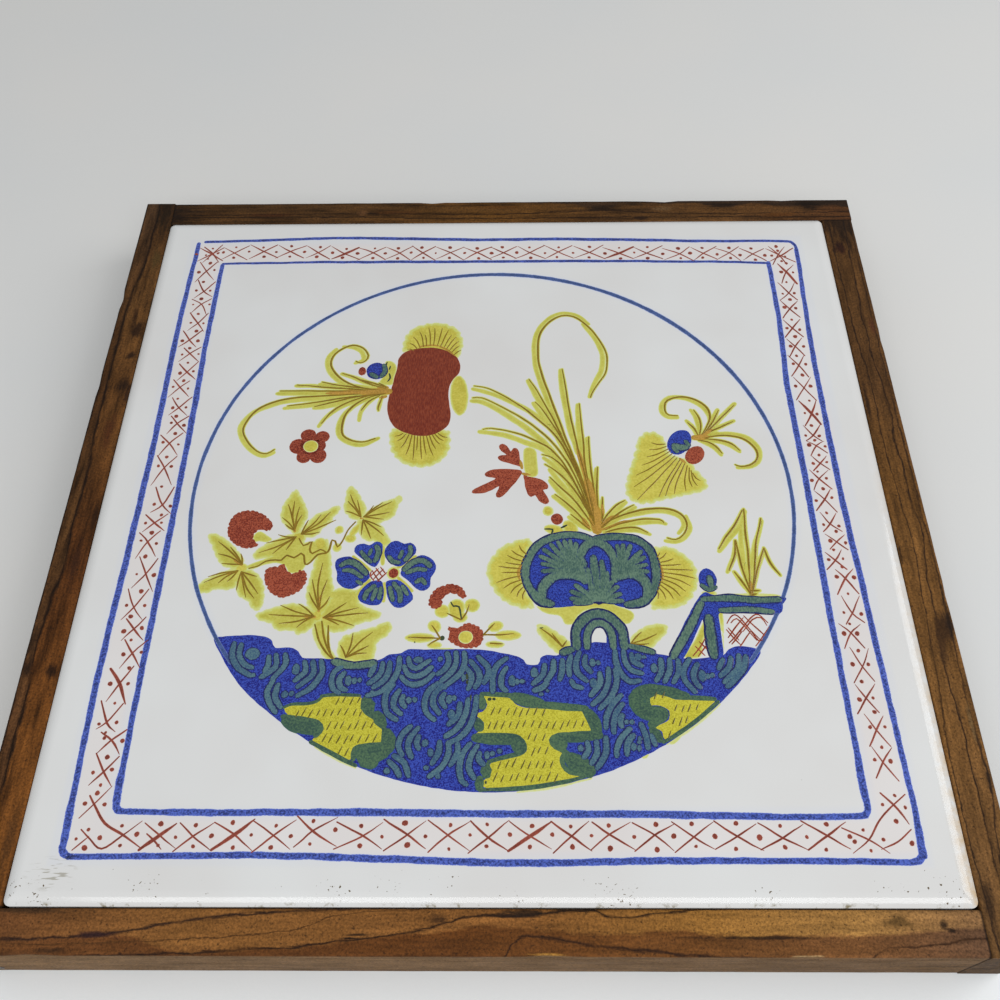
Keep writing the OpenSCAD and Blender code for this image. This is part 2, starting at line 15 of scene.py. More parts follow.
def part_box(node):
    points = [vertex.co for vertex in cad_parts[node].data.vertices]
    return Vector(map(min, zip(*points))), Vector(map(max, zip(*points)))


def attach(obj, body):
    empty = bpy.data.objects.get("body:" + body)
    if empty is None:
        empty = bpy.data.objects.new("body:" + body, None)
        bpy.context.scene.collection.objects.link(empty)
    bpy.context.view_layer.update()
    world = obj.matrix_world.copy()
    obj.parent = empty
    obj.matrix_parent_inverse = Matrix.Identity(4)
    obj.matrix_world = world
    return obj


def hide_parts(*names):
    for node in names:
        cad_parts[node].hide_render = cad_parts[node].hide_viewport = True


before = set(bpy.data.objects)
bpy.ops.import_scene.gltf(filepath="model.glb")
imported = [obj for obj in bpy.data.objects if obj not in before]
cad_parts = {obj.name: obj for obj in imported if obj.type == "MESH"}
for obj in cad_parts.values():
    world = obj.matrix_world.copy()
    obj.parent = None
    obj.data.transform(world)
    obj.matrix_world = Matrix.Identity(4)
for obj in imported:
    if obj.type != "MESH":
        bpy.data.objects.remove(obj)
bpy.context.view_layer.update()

MM = 0.001
chance = random.Random(7)

# Places that the frame gives
tile_low, tile_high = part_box("tile")
rail_low, rail_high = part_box("rail_front")
panel_low, panel_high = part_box("base_panel")
tile_half = tile_high.x
tile_top = tile_high.z
inner_half = rail_high.x


# Sizes of the painting that the glaze's stains follow too: the border's middle line and its half width
# out from the tile's middle, and the ring
BORDER_MIDDLE = 86 * MM
BORDER_HALF = 4.7 * MM
RING_R = 76.3 * MM
RING_LIFT = 0.6 * MM
RING_SHIFT = -0.15 * MM


# Small helpers

def deselect_all():
    if bpy.context.object and bpy.context.object.mode != "OBJECT":
        bpy.ops.object.mode_set(mode="OBJECT")
    bpy.ops.object.select_all(action="DESELECT")


def add_block(name, shaded_side_mask, high):
    """A cube primitive from one corner to the other, with its place in its mesh, open for editing."""
    deselect_all()
    middle = (Vector(shaded_side_mask) + Vector(high)) / 2
    bpy.ops.mesh.primitive_cube_add(size=1, location=middle, scale=Vector(high) - Vector(shaded_side_mask))
    bpy.ops.object.transform_apply(location=True, rotation=True, scale=True)
    block = bpy.context.object
    block.name = name
    bpy.ops.object.mode_set(mode="EDIT")
    return block


def select_where(block, kind, test):
    """Selects only the vertices, edges or faces of the block in edit mode that pass a test."""
    bpy.ops.mesh.select_all(action="DESELECT")
    bpy.ops.mesh.select_mode(type={"verts": "VERT", "edges": "EDGE", "faces": "FACE"}[kind])
    mesh = bmesh.from_edit_mesh(block.data)
    for element in getattr(mesh, kind):
        if test(element):
            element.select_set(True)
    mesh.select_flush_mode()
    bmesh.update_edit_mesh(block.data)


def cut_across(axis, places):
    """Cuts the whole mesh in edit mode across one axis at each place."""
    normal = [0, 0, 0]
    normal[axis] = 1
    for place in places:
        point = [0, 0, 0]
        point[axis] = place
        bpy.ops.mesh.select_all(action="SELECT")
        bpy.ops.mesh.bisect(plane_co=point, plane_no=normal)


def edge_middle(edge):
    return (edge.verts[0].co + edge.verts[1].co) / 2


def edge_runs(edge, axis):
    return abs((edge.verts[1].co - edge.verts[0].co).normalized()[axis]) > 0.99


def near(a, b):
    return abs(a - b) < 0.01 * MM


def dress(piece, material, replaces=(), body="root"):
    """Gives a finished piece its material, slot and body."""
    if material:
        piece.data.materials.clear()
        piece.data.materials.append(material)
    if replaces:
        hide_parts(*replaces)
    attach(piece, body)
    return piece


# Materials

def colour(code):
    """Linear colour of an sRGB hex code."""
    parts = [int(code[i:i + 2], 16) / 255 for i in (1, 3, 5)]
    return [p / 12.92 if p <= 0.04045 else ((p + 0.055) / 1.055) ** 2.4 for p in parts] + [1]


# What makes a Mix node mix colours, and which of its outputs then holds the colour
IN_COLOUR = {"out": 2, "data_type": "RGBA"}


def add_node(tree, kind, links=None, out=0, stops=(), curve=(), **settings):
    """Adds a shader node with its settings, and gives back one of its outputs. links gives each input
    a value or another node's output, stops are a ramp's (place, hex code)s, and curve a curve's points."""
    made = tree.nodes.new("ShaderNode" + kind)
    for key, value in settings.items():
        setattr(made, key, value)
    for key, value in (links or {}).items():
        if isinstance(value, bpy.types.NodeSocket):
            tree.links.new(value, made.inputs[key])
        else:
            made.inputs[key].default_value = value
    for i, (place, code) in enumerate(stops):
        if i >= len(made.color_ramp.elements):
            made.color_ramp.elements.new(1.0)
        made.color_ramp.elements[i].position = place
        made.color_ramp.elements[i].color = colour(code)
    for place in curve[1:-1]:
        made.mapping.curves[0].points.new(*place)
    if curve:
        for point, place in zip(made.mapping.curves[0].points, curve):
            point.location = place
        made.mapping.update()
    return made.outputs[out] if made.outputs else made


def new_material(name):
    """An empty material with a Principled shader; returns its tree, its shader and Object coordinates."""
    material = bpy.data.materials.new(name)
    material.use_nodes = True
    tree = material.node_tree
    tree.nodes.clear()
    surface = add_node(tree, "BsdfPrincipled")
    add_node(tree, "OutputMaterial", {"Surface": surface})
    return material, tree, surface.node, add_node(tree, "TexCoord", out="Object")


def set_shader(tree, shader, **values):
    """Sets or links the shader's sockets; underscores in a name stand for spaces."""
    for key, value in values.items():
        socket = shader.inputs[key.replace("_", " ")]
        if isinstance(value, bpy.types.NodeSocket):
            tree.links.new(value, socket)
        else:
            socket.default_value = value


def wood(name, turns, seed, contrast, tones, side, zones, lines, blots):
    """Softwood strip, sawn and planed, stained brown, much handled and never waxed: grainy, dull, with
    wandering dark growth lines, blotches where the stain has soaked in, and dark patches at some ends.
    Places along the rail are in mm, and places across it run from 0 at its outer edge to 1 at the tile.
    contrast: how far the streaks change the tones. tones and side: (x, tone) along the top and along
    the outer face. zones: (line above the zone, its tones). lines: (line, half width, tone).
    blots: (x, y, half length and half width in mm, tone)."""
    material, tree, shader, place = new_material(name)
    turned = add_node(tree, "Mapping", {"Vector": place, "Rotation": (0, 0, -turns * math.pi / 2)})
    along = add_node(tree, "SeparateXYZ", {0: turned})
    across, up = along.node.outputs[1:]
    moved = add_node(tree, "Mapping", {"Vector": turned, "Location": (seed * 0.37, seed * 0.11, 0)})
    drawn = add_node(tree, "Mapping", {"Vector": moved, "Scale": (1 / 4, 1, 1)})
    long_drawn = add_node(tree, "Mapping", {"Vector": moved, "Scale": (1 / 16, 1, 1)})

    # Streaks 1.3 mm wide and mottling 3 mm wide, drawn out along the rail, and pores of 0.5 mm
    streaks = add_node(tree, "TexNoise", {"Vector": long_drawn, "Scale": 1 / (1.3 * MM), "Detail": 4,
                                          "Roughness": 0.6})
    mottling = add_node(tree, "TexNoise", {"Vector": drawn, "Scale": 1 / (3 * MM), "Detail": 5,
                                           "Roughness": 0.7})
    pores = add_node(tree, "TexNoise", {"Vector": moved, "Scale": 1 / (0.5 * MM), "Detail": 3,
                                        "Roughness": 0.7})
    ragged = add_node(tree, "TexNoise", {"Vector": drawn, "Scale": 1 / (1.2 * MM), "Detail": 4,
                                         "Roughness": 0.65})
    value = add_node(tree, "Mix", {0: 0.5, 2: streaks, 3: mottling})
    value = add_node(tree, "MapRange", {0: value, 1: 0.34, 2: 0.66, 3: 1 - contrast, 4: 1 + contrast})

    share = add_node(tree, "MapRange", {0: along, 1: rail_low.x, 2: rail_high.x})
    height = add_node(tree, "MapRange", {0: across, 1: rail_low.y, 2: rail_high.y})
    shift = add_node(tree, "MapRange", {0: ragged, 1: 0.3, 2: 0.7, 3: -0.035, 4: 0.035})
    line_height = add_node(tree, "Math", {0: height, 1: shift}, operation="ADD")
    zone_height = add_node(tree, "Math", {0: shift, 1: 2.0, 2: height}, operation="MULTIPLY_ADD")

    def share_of(x):
        return (x * MM - rail_low.x) / (rail_high.x - rail_low.x)

    def curve_along(places):
        return add_node(tree, "FloatCurve", {"Value": share}, curve=[(share_of(x), y) for x, y in places])

    def tone_along(tones):
        return add_node(tree, "ValToRGB", {0: share}, stops=[(share_of(x), code) for x, code in tones])

    tone = tone_along(tones)
    for places, zone_tones in zones:
        depth = add_node(tree, "Math", {0: curve_along(places), 1: zone_height}, operation="SUBTRACT")
        mask = add_node(tree, "MapRange", {0: depth, 1: -0.05, 2: 0.05})
        tone = add_node(tree, "Mix", {0: mask, 6: tone, 7: tone_along(zone_tones)}, **IN_COLOUR)
    tone = add_node(tree, "Mix", {0: 1.0, 6: tone, 7: value}, **IN_COLOUR, blend_type="MULTIPLY")
    strength = add_node(tree, "MapRange", {0: mottling, 1: 0.36, 2: 0.5, 3: 0.45, 4: 0.95})
    for places, half_width, code in lines:
        gap = add_node(tree, "Math", {0: line_height, 1: curve_along(places)}, operation="SUBTRACT")
        gap = add_node(tree, "Math", {0: gap}, operation="ABSOLUTE")
        mask = add_node(tree, "MapRange", {0: gap, 1: 0.1 * half_width, 2: 0.75 * half_width, 3: strength,
                                           4: 0.0})
        tone = add_node(tree, "Mix", {0: mask, 6: tone, 7: colour(code)}, **IN_COLOUR)
    rough = add_node(tree, "MapRange", {0: ragged, 1: 0.3, 2: 0.7, 3: -0.5, 4: 0.5})
    for x, y, half_x, half_y, code in blots:
        middle = (x * MM, rail_low.y + y * (rail_high.y - rail_low.y), rail_high.z)
        reach = (half_x * MM, half_y * MM, 40 * MM)
        spot = add_node(tree, "Mapping", {0: turned, 1: middle, 3: reach}, vector_type="TEXTURE")
        away = add_node(tree, "VectorMath", {0: spot}, out=1, operation="LENGTH")
        away = add_node(tree, "Math", {0: away, 1: rough}, operation="ADD")
        mask = add_node(tree, "MapRange", {0: away, 1: 0.4, 2: 1.2, 3: 0.85, 4: 0.0})
        tone = add_node(tree, "Mix", {0: mask, 6: tone, 7: colour(code)}, **IN_COLOUR)

    # Painted shade: the sides take plainer, duller tones of their own, set darker than the top on most rails
    shaded_side_mask = add_node(tree, "MapRange", {0: up, 1: rail_high.z - 0.5 * MM, 2: rail_high.z - 1.1 * MM})
    shaded_side_tone = add_node(tree, "Mix", {0: 1.0, 6: tone_along(side), 7: value}, **IN_COLOUR,
                         blend_type="MULTIPLY")
    tone = add_node(tree, "Mix", {0: shaded_side_mask, 6: tone, 7: shaded_side_tone}, **IN_COLOUR)
    # Dark joint where the rail's end meets the next rail
    joint = add_node(tree, "MapRange", {0: along, 1: rail_high.x - 0.5 * MM, 2: rail_high.x - 0.2 * MM,
                                        4: 0.85})
    tone = add_node(tree, "Mix", {0: joint, 6: tone, 7: colour("#150C06")}, **IN_COLOUR)

    grain = add_node(tree, "MapRange", {0: pores, 1: 0.33, 2: 0.67, 3: 0.62, 4: 1.38})
    tone = add_node(tree, "Mix", {0: 1.0, 6: tone, 7: grain}, **IN_COLOUR, blend_type="MULTIPLY")
    pits = add_node(tree, "TexNoise", {"Vector": moved, "Scale": 1 / (0.8 * MM), "Detail": 2,
                                       "Roughness": 0.6})
    pits = add_node(tree, "MapRange", {0: pits, 1: 0.62, 2: 0.7, 4: 0.6})
    tone = add_node(tree, "Mix", {0: pits, 6: tone, 7: colour("#20130A")}, **IN_COLOUR)
    rough = add_node(tree, "MapRange", {0: mottling, 1: 0.3, 2: 0.7, 3: 0.8, 4: 0.6})
    normal = add_node(tree, "Bump", {"Height": pores, "Distance": 0.12 * MM, "Strength": 0.7})
    set_shader(tree, shader, Base_Color=tone, Roughness=rough, Specular_IOR_Level=0.12, Normal=normal)
    return material


def glaze():
    """White tin glaze over an earthenware wall tile, fired glossy: cool white, faintly uneven. Cobalt
    has bled palely into it beside the lines, and iron into the border. It has a few brown specks and
    scuffs, grime along the front joint, and a cream stain where dirt has crept in from the joint."""
    material, tree, shader, place = new_material("tin_glaze")
    x = add_node(tree, "SeparateXYZ", {0: place})
    y = x.node.outputs[1]
    cloud = add_node(tree, "TexNoise", {"Vector": place, "Scale": 1 / (30 * MM), "Detail": 2})
    cloud = add_node(tree, "MapRange", {0: cloud, 1: 0.3, 2: 0.7})
    tone = add_node(tree, "Mix", {0: cloud, 6: colour("#D9DAD9"), 7: colour("#D4D3D1")}, **IN_COLOUR)

    # Border: how far a spot is from its middle line, and from the lines on both its sides
    reach_x = add_node(tree, "Math", {0: x}, operation="ABSOLUTE")
    reach_y = add_node(tree, "Math", {0: y}, operation="ABSOLUTE")
    reach = add_node(tree, "Math", {0: reach_x, 1: reach_y}, operation="MAXIMUM")
    reach = add_node(tree, "Math", {0: reach, 1: BORDER_MIDDLE}, operation="SUBTRACT")
    reach = add_node(tree, "Math", {0: reach}, operation="ABSOLUTE")
    border = add_node(tree, "MapRange", {0: reach, 1: 3.6 * MM, 2: 4.8 * MM, 3: 0.2, 4: 0.0})
    from_line = add_node(tree, "Math", {0: reach, 1: BORDER_HALF}, operation="SUBTRACT")
    from_line = add_node(tree, "Math", {0: from_line}, operation="ABSOLUTE")
    round_middle = add_node(tree, "Mapping", {"Vector": place, "Location": (0, -RING_LIFT, 0),
                                              "Scale": (1, 1, 0)})
    from_ring = add_node(tree, "VectorMath", {0: round_middle}, out=1, operation="LENGTH")
    from_ring = add_node(tree, "Math", {0: from_ring, 1: RING_R}, operation="SUBTRACT")
    from_ring = add_node(tree, "Math", {0: from_ring}, operation="ABSOLUTE")
    from_blue = add_node(tree, "Math", {0: from_line, 1: from_ring}, operation="MINIMUM")
    halo = add_node(tree, "MapRange", {0: from_blue, 1: 0.8 * MM, 2: 2.2 * MM, 3: 0.14, 4: 0.0},
                    interpolation_type="SMOOTHSTEP")

    # Stain along the right-hand edge, strongest towards the front
    edge = add_node(tree, "MapRange", {0: x, 1: tile_half - 3.5 * MM, 2: tile_half})
    front = add_node(tree, "MapRange", {0: y, 1: 30 * MM, 2: -tile_half})
    stain = add_node(tree, "Math", {0: edge, 1: front}, operation="MULTIPLY")
    patchy = add_node(tree, "TexNoise", {"Vector": place, "Scale": 1 / (4 * MM), "Detail": 4,
                                         "Roughness": 0.7})
    patchy = add_node(tree, "MapRange", {0: patchy, 1: 0.38, 2: 0.62})
    stain = add_node(tree, "Math", {0: stain, 1: patchy}, operation="MULTIPLY")

    # Brown specks, most of them in clusters along the front edge
    specks = add_node(tree, "TexNoise", {"Vector": place, "Scale": 1 / (0.7 * MM), "Detail": 3})
    near_front = add_node(tree, "MapRange", {0: y, 1: -90 * MM, 2: -96 * MM})
    clusters = add_node(tree, "TexNoise", {"Vector": place, "Scale": 1 / (11 * MM), "Detail": 2})
    clusters = add_node(tree, "MapRange", {0: clusters, 1: 0.45, 2: 0.6})
    clusters = add_node(tree, "Math", {0: clusters, 1: near_front}, operation="MULTIPLY")
    limit = add_node(tree, "MapRange", {0: clusters, 3: 0.79, 4: 0.635})
    dirt = add_node(tree, "Math", {0: specks, 1: limit}, operation="SUBTRACT")
    dirt = add_node(tree, "MapRange", {0: dirt, 2: 0.03})

    # Olive grime in patches along the front joint, and faint slanting scuffs in the left-hand corner
    joint = add_node(tree, "MapRange", {0: y, 1: 0.9 * MM - tile_half, 2: 0.3 * MM - tile_half})
    patches = add_node(tree, "TexNoise", {"Vector": place, "Scale": 1 / (5 * MM), "Detail": 4,
                                          "Roughness": 0.75})
    patches = add_node(tree, "MapRange", {0: patches, 1: 0.54, 2: 0.66})
    grime = add_node(tree, "Math", {0: joint, 1: patches}, operation="MULTIPLY")
    corner = add_node(tree, "Mapping", {"Vector": place, "Location": (91 * MM, 150 * MM, 0),
                                        "Scale": (1, 1.6, 0)})
    corner = add_node(tree, "VectorMath", {0: corner}, out=1, operation="LENGTH")
    corner = add_node(tree, "MapRange", {0: corner, 1: 6 * MM, 2: 3 * MM})
    slanted = add_node(tree, "Mapping", {"Vector": place, "Rotation": (0, 0, -0.45), "Scale": (0.16, 1, 1)})
    scuffs = add_node(tree, "TexNoise", {"Vector": slanted, "Scale": 1 / (0.6 * MM), "Detail": 2})
    scuffs = add_node(tree, "MapRange", {0: scuffs, 1: 0.55, 2: 0.62, 4: 0.6})
    scuffs = add_node(tree, "Math", {0: scuffs, 1: corner}, operation="MULTIPLY")

    layers = [(border, "#E2CDC8"), (halo, "#C2CBE2"), (stain, "#C9AE86"), (dirt, "#5E4E34"),
              (grime, "#7C7150"), (scuffs, "#86806A")]
    for mask, code in layers:
        tone = add_node(tree, "Mix", {0: mask, 6: tone, 7: colour(code)}, **IN_COLOUR)
    waves = add_node(tree, "TexNoise", {"Vector": place, "Scale": 1 / (14 * MM), "Detail": 1})
    normal = add_node(tree, "Bump", {"Height": waves, "Distance": 0.05 * MM, "Strength": 0.5})
    set_shader(tree, shader, Base_Color=tone, Roughness=0.12, IOR=1.5, Normal=normal)
    return material


def plain(name, code_a, code_b, size, roughness, metallic=0.0):
    """A matt or metal finish of two near tones in patches of one size, with a bump of the same size."""
    material, tree, shader, place = new_material(name)
    patches = add_node(tree, "TexNoise", {"Vector": place, "Scale": 1 / size, "Detail": 4, "Roughness": 0.6})
    value = add_node(tree, "MapRange", {0: patches, 1: 0.35, 2: 0.65})
    tone = add_node(tree, "Mix", {0: value, 6: colour(code_a), 7: colour(code_b)}, **IN_COLOUR)
    normal = add_node(tree, "Bump", {"Height": patches, "Distance": 0.1 * MM, "Strength": 0.6})
    set_shader(tree, shader, Base_Color=tone, Roughness=roughness, Metallic=metallic, Normal=normal)
    return material


# Camera at the photograph's viewing angle

camera_data = bpy.data.cameras.new("camera")
camera_data.sensor_width = 36
camera_data.lens = 37.4
camera = bpy.data.objects.new("camera", camera_data)
camera.location = (5.693 * MM, -143.860 * MM, 243.754 * MM)
camera.rotation_euler = [math.radians(a) for a in (32.4966, 0.7604, 0.2653)]
camera_data.clip_start = 0.01
bpy.context.scene.collection.objects.link(camera)
bpy.context.scene.camera = camera


# Stage: a pale painted table top, and soft light from the right, from above and from behind the camera

def table_top():
    """Satin white painted board: pale grey-white with faint roller texture, and painted light: lighter just
    in front of the frame, fading out away from the middle.
    """
    material, tree, shader, place = new_material("painted_table")
    cloud = add_node(tree, "TexNoise", {"Vector": place, "Scale": 1 / (90 * MM), "Detail": 2})
    cloud = add_node(tree, "MapRange", {0: cloud, 1: 0.3, 2: 0.7})
    tone = add_node(tree, "Mix", {0: cloud, 6: colour("#DAD9D6"), 7: colour("#D6D7D6")}, **IN_COLOUR)
    y = add_node(tree, "SeparateXYZ", {0: place}, out=1)
    # Painted light: the board just in front of the frame is lightened towards near white, fading out between
    # 160 and 450 mm from the middle
    painted_light_in_front = add_node(tree, "MapRange", {0: y, 1: -105 * MM, 2: -109 * MM})
    reach = add_node(tree, "VectorMath", {0: place}, out=1, operation="LENGTH")
    reach = add_node(tree, "MapRange", {0: reach, 1: 160 * MM, 2: 450 * MM, 3: 1.0, 4: 0.0},
                     interpolation_type="SMOOTHSTEP")
    painted_light_in_front = add_node(tree, "Math", {0: painted_light_in_front, 1: reach}, operation="MULTIPLY")
    tone = add_node(tree, "Mix", {0: painted_light_in_front, 6: tone, 7: colour("#EDF0F1")}, **IN_COLOUR)
    roller = add_node(tree, "TexNoise", {"Vector": place, "Scale": 1 / (1.2 * MM), "Detail": 2})
    normal = add_node(tree, "Bump", {"Height": roller, "Distance": 0.05 * MM, "Strength": 0.4})
    set_shader(tree, shader, Base_Color=tone, Roughness=0.55, Normal=normal)
    return material


deselect_all()
bpy.ops.mesh.primitive_plane_add(size=6, location=(0, 1, 0))
bpy.ops.object.transform_apply(location=True, rotation=True, scale=True)
floor = bpy.context.object
floor.name = "table_top"
floor.data.materials.append(table_top())


def add_lamp(name, place, aim, width, depth, power):
    data = bpy.data.lights.new(name, "AREA")
    data.shape = "RECTANGLE"
    data.size = width
    data.size_y = depth
    data.energy = power
    lamp = bpy.data.objects.new(name, data)
    lamp.location = place
    lamp.rotation_euler = (Vector(aim) - Vector(place)).to_track_quat("-Z", "Y").to_euler()
    bpy.context.scene.collection.objects.link(lamp)


add_lamp("lamp_right", (0.75, 0.15, 0.65), (0, 0, 0), 0.6, 0.6, 3.1)
add_lamp("lamp_front", (0.05, -0.62, 0.75), (0, -0.05, 0), 1.0, 0.4, 4.9)

world = bpy.data.worlds.new("room")
world.use_nodes = True
world.node_tree.nodes["Background"].inputs["Color"].default_value = colour("#F2F4F6")
world.node_tree.nodes["Background"].inputs["Strength"].default_value = 0.5
bpy.context.scene.world = world
bpy.context.scene.view_settings.view_transform = "Standard"


# Wooden frame

RAIL_CORNER_R = 1.3 * MM
PANEL_PLAY = 0.1 * MM
GROOVE_END = panel_high.x + PANEL_PLAY
RAIL_STEP = 4 * MM
# Lengths of the slow and quick waves that a hand plane leaves
SLOW_WAVE = 45 * MM
QUICK_WAVE = 7 * MM


def shape_rail(name, turns, chips, ease):
    """One rail: a strip with a stopped groove for the panel, eased edges, one rounded corner, small
    chips along its outer edge, and the slight unevenness of a hand-planed strip.
    chips: (place along the rail, half length, depth). ease: how far its edges are rounded."""
    block = add_block(name, rail_low, rail_high)
    steps = int((rail_high.x - rail_low.x) / RAIL_STEP)
    places = [rail_low.x + (rail_high.x - rail_low.x) * i / steps for i in range(1, steps)]
    cut_across(0, places + [-GROOVE_END, -inner_half])
    cut_across(2, [panel_low.z, panel_high.z + PANEL_PLAY])
    cut_across(1, [(rail_low.y + rail_high.y) / 2])

    def in_groove(face):
        middle = face.calc_center_median()
        return face.normal.y > 0.9 and panel_low.z < middle.z < panel_high.z + PANEL_PLAY \
            and -GROOVE_END < middle.x

    select_where(block, "faces", in_groove)
    depth = rail_high.y + GROOVE_END
    bpy.ops.mesh.extrude_region_move(TRANSFORM_OT_translate={"value": (0, -depth, 0)})

    def is_arris(edge):
        middle = edge_middle(edge)
        on_side = near(middle.y, rail_low.y) or near(middle.y, rail_high.y)
        on_flat = near(middle.z, rail_low.z) or near(middle.z, rail_high.z)
        return edge_runs(edge, 0) and on_side and on_flat

    select_where(block, "edges", is_arris)
    bpy.ops.mesh.bevel(offset=ease, segments=4, profile=0.5)

    def is_open_corner(edge):
        middle = edge_middle(edge)
        return edge_runs(edge, 2) and near(middle.x, rail_low.x) and near(middle.y, rail_low.y)

    select_where(block, "edges", is_open_corner)
    bpy.ops.mesh.bevel(offset=RAIL_CORNER_R, segments=5, profile=0.5)
    bpy.ops.object.mode_set(mode="OBJECT")

    for vertex in block.data.vertices:
        co = vertex.co
        outer = max(0.0, min(1.0, (rail_high.y - co.y) / (rail_high.y - rail_low.y)))
        top = co.z / rail_high.z
        slow = noise.noise(Vector((co.x / SLOW_WAVE, turns * 7.3, 0)))
        quick = noise.noise(Vector((co.x / QUICK_WAVE, turns * 3.1 + outer * 2, top * 2)))
        back_off = 0.03 * MM * (slow + 1) + 0.04 * MM * (quick + 1)
        if outer > 0.4:
            co.y += back_off * outer
        if top > 0.6:
            co.z -= (0.05 * (slow + 1) + 0.04 * (quick + 1)) * MM
        for chip_x, half, bite in chips:
            reach = 1 - abs(co.x - chip_x) / half
            if reach > 0 and outer > 0.75 and top > 0.8:
                co.y += bite * min(1, 1.6 * reach)
                co.z -= 0.5 * bite * min(1, 1.6 * reach)
    block.data.transform(Matrix.Rotation(turns * math.pi / 2, 4, "Z"))
    deselect_all()
    block.select_set(True)
    bpy.context.view_layer.objects.active = block
    bpy.ops.object.shade_smooth_by_angle(angle=math.radians(40))
    return block


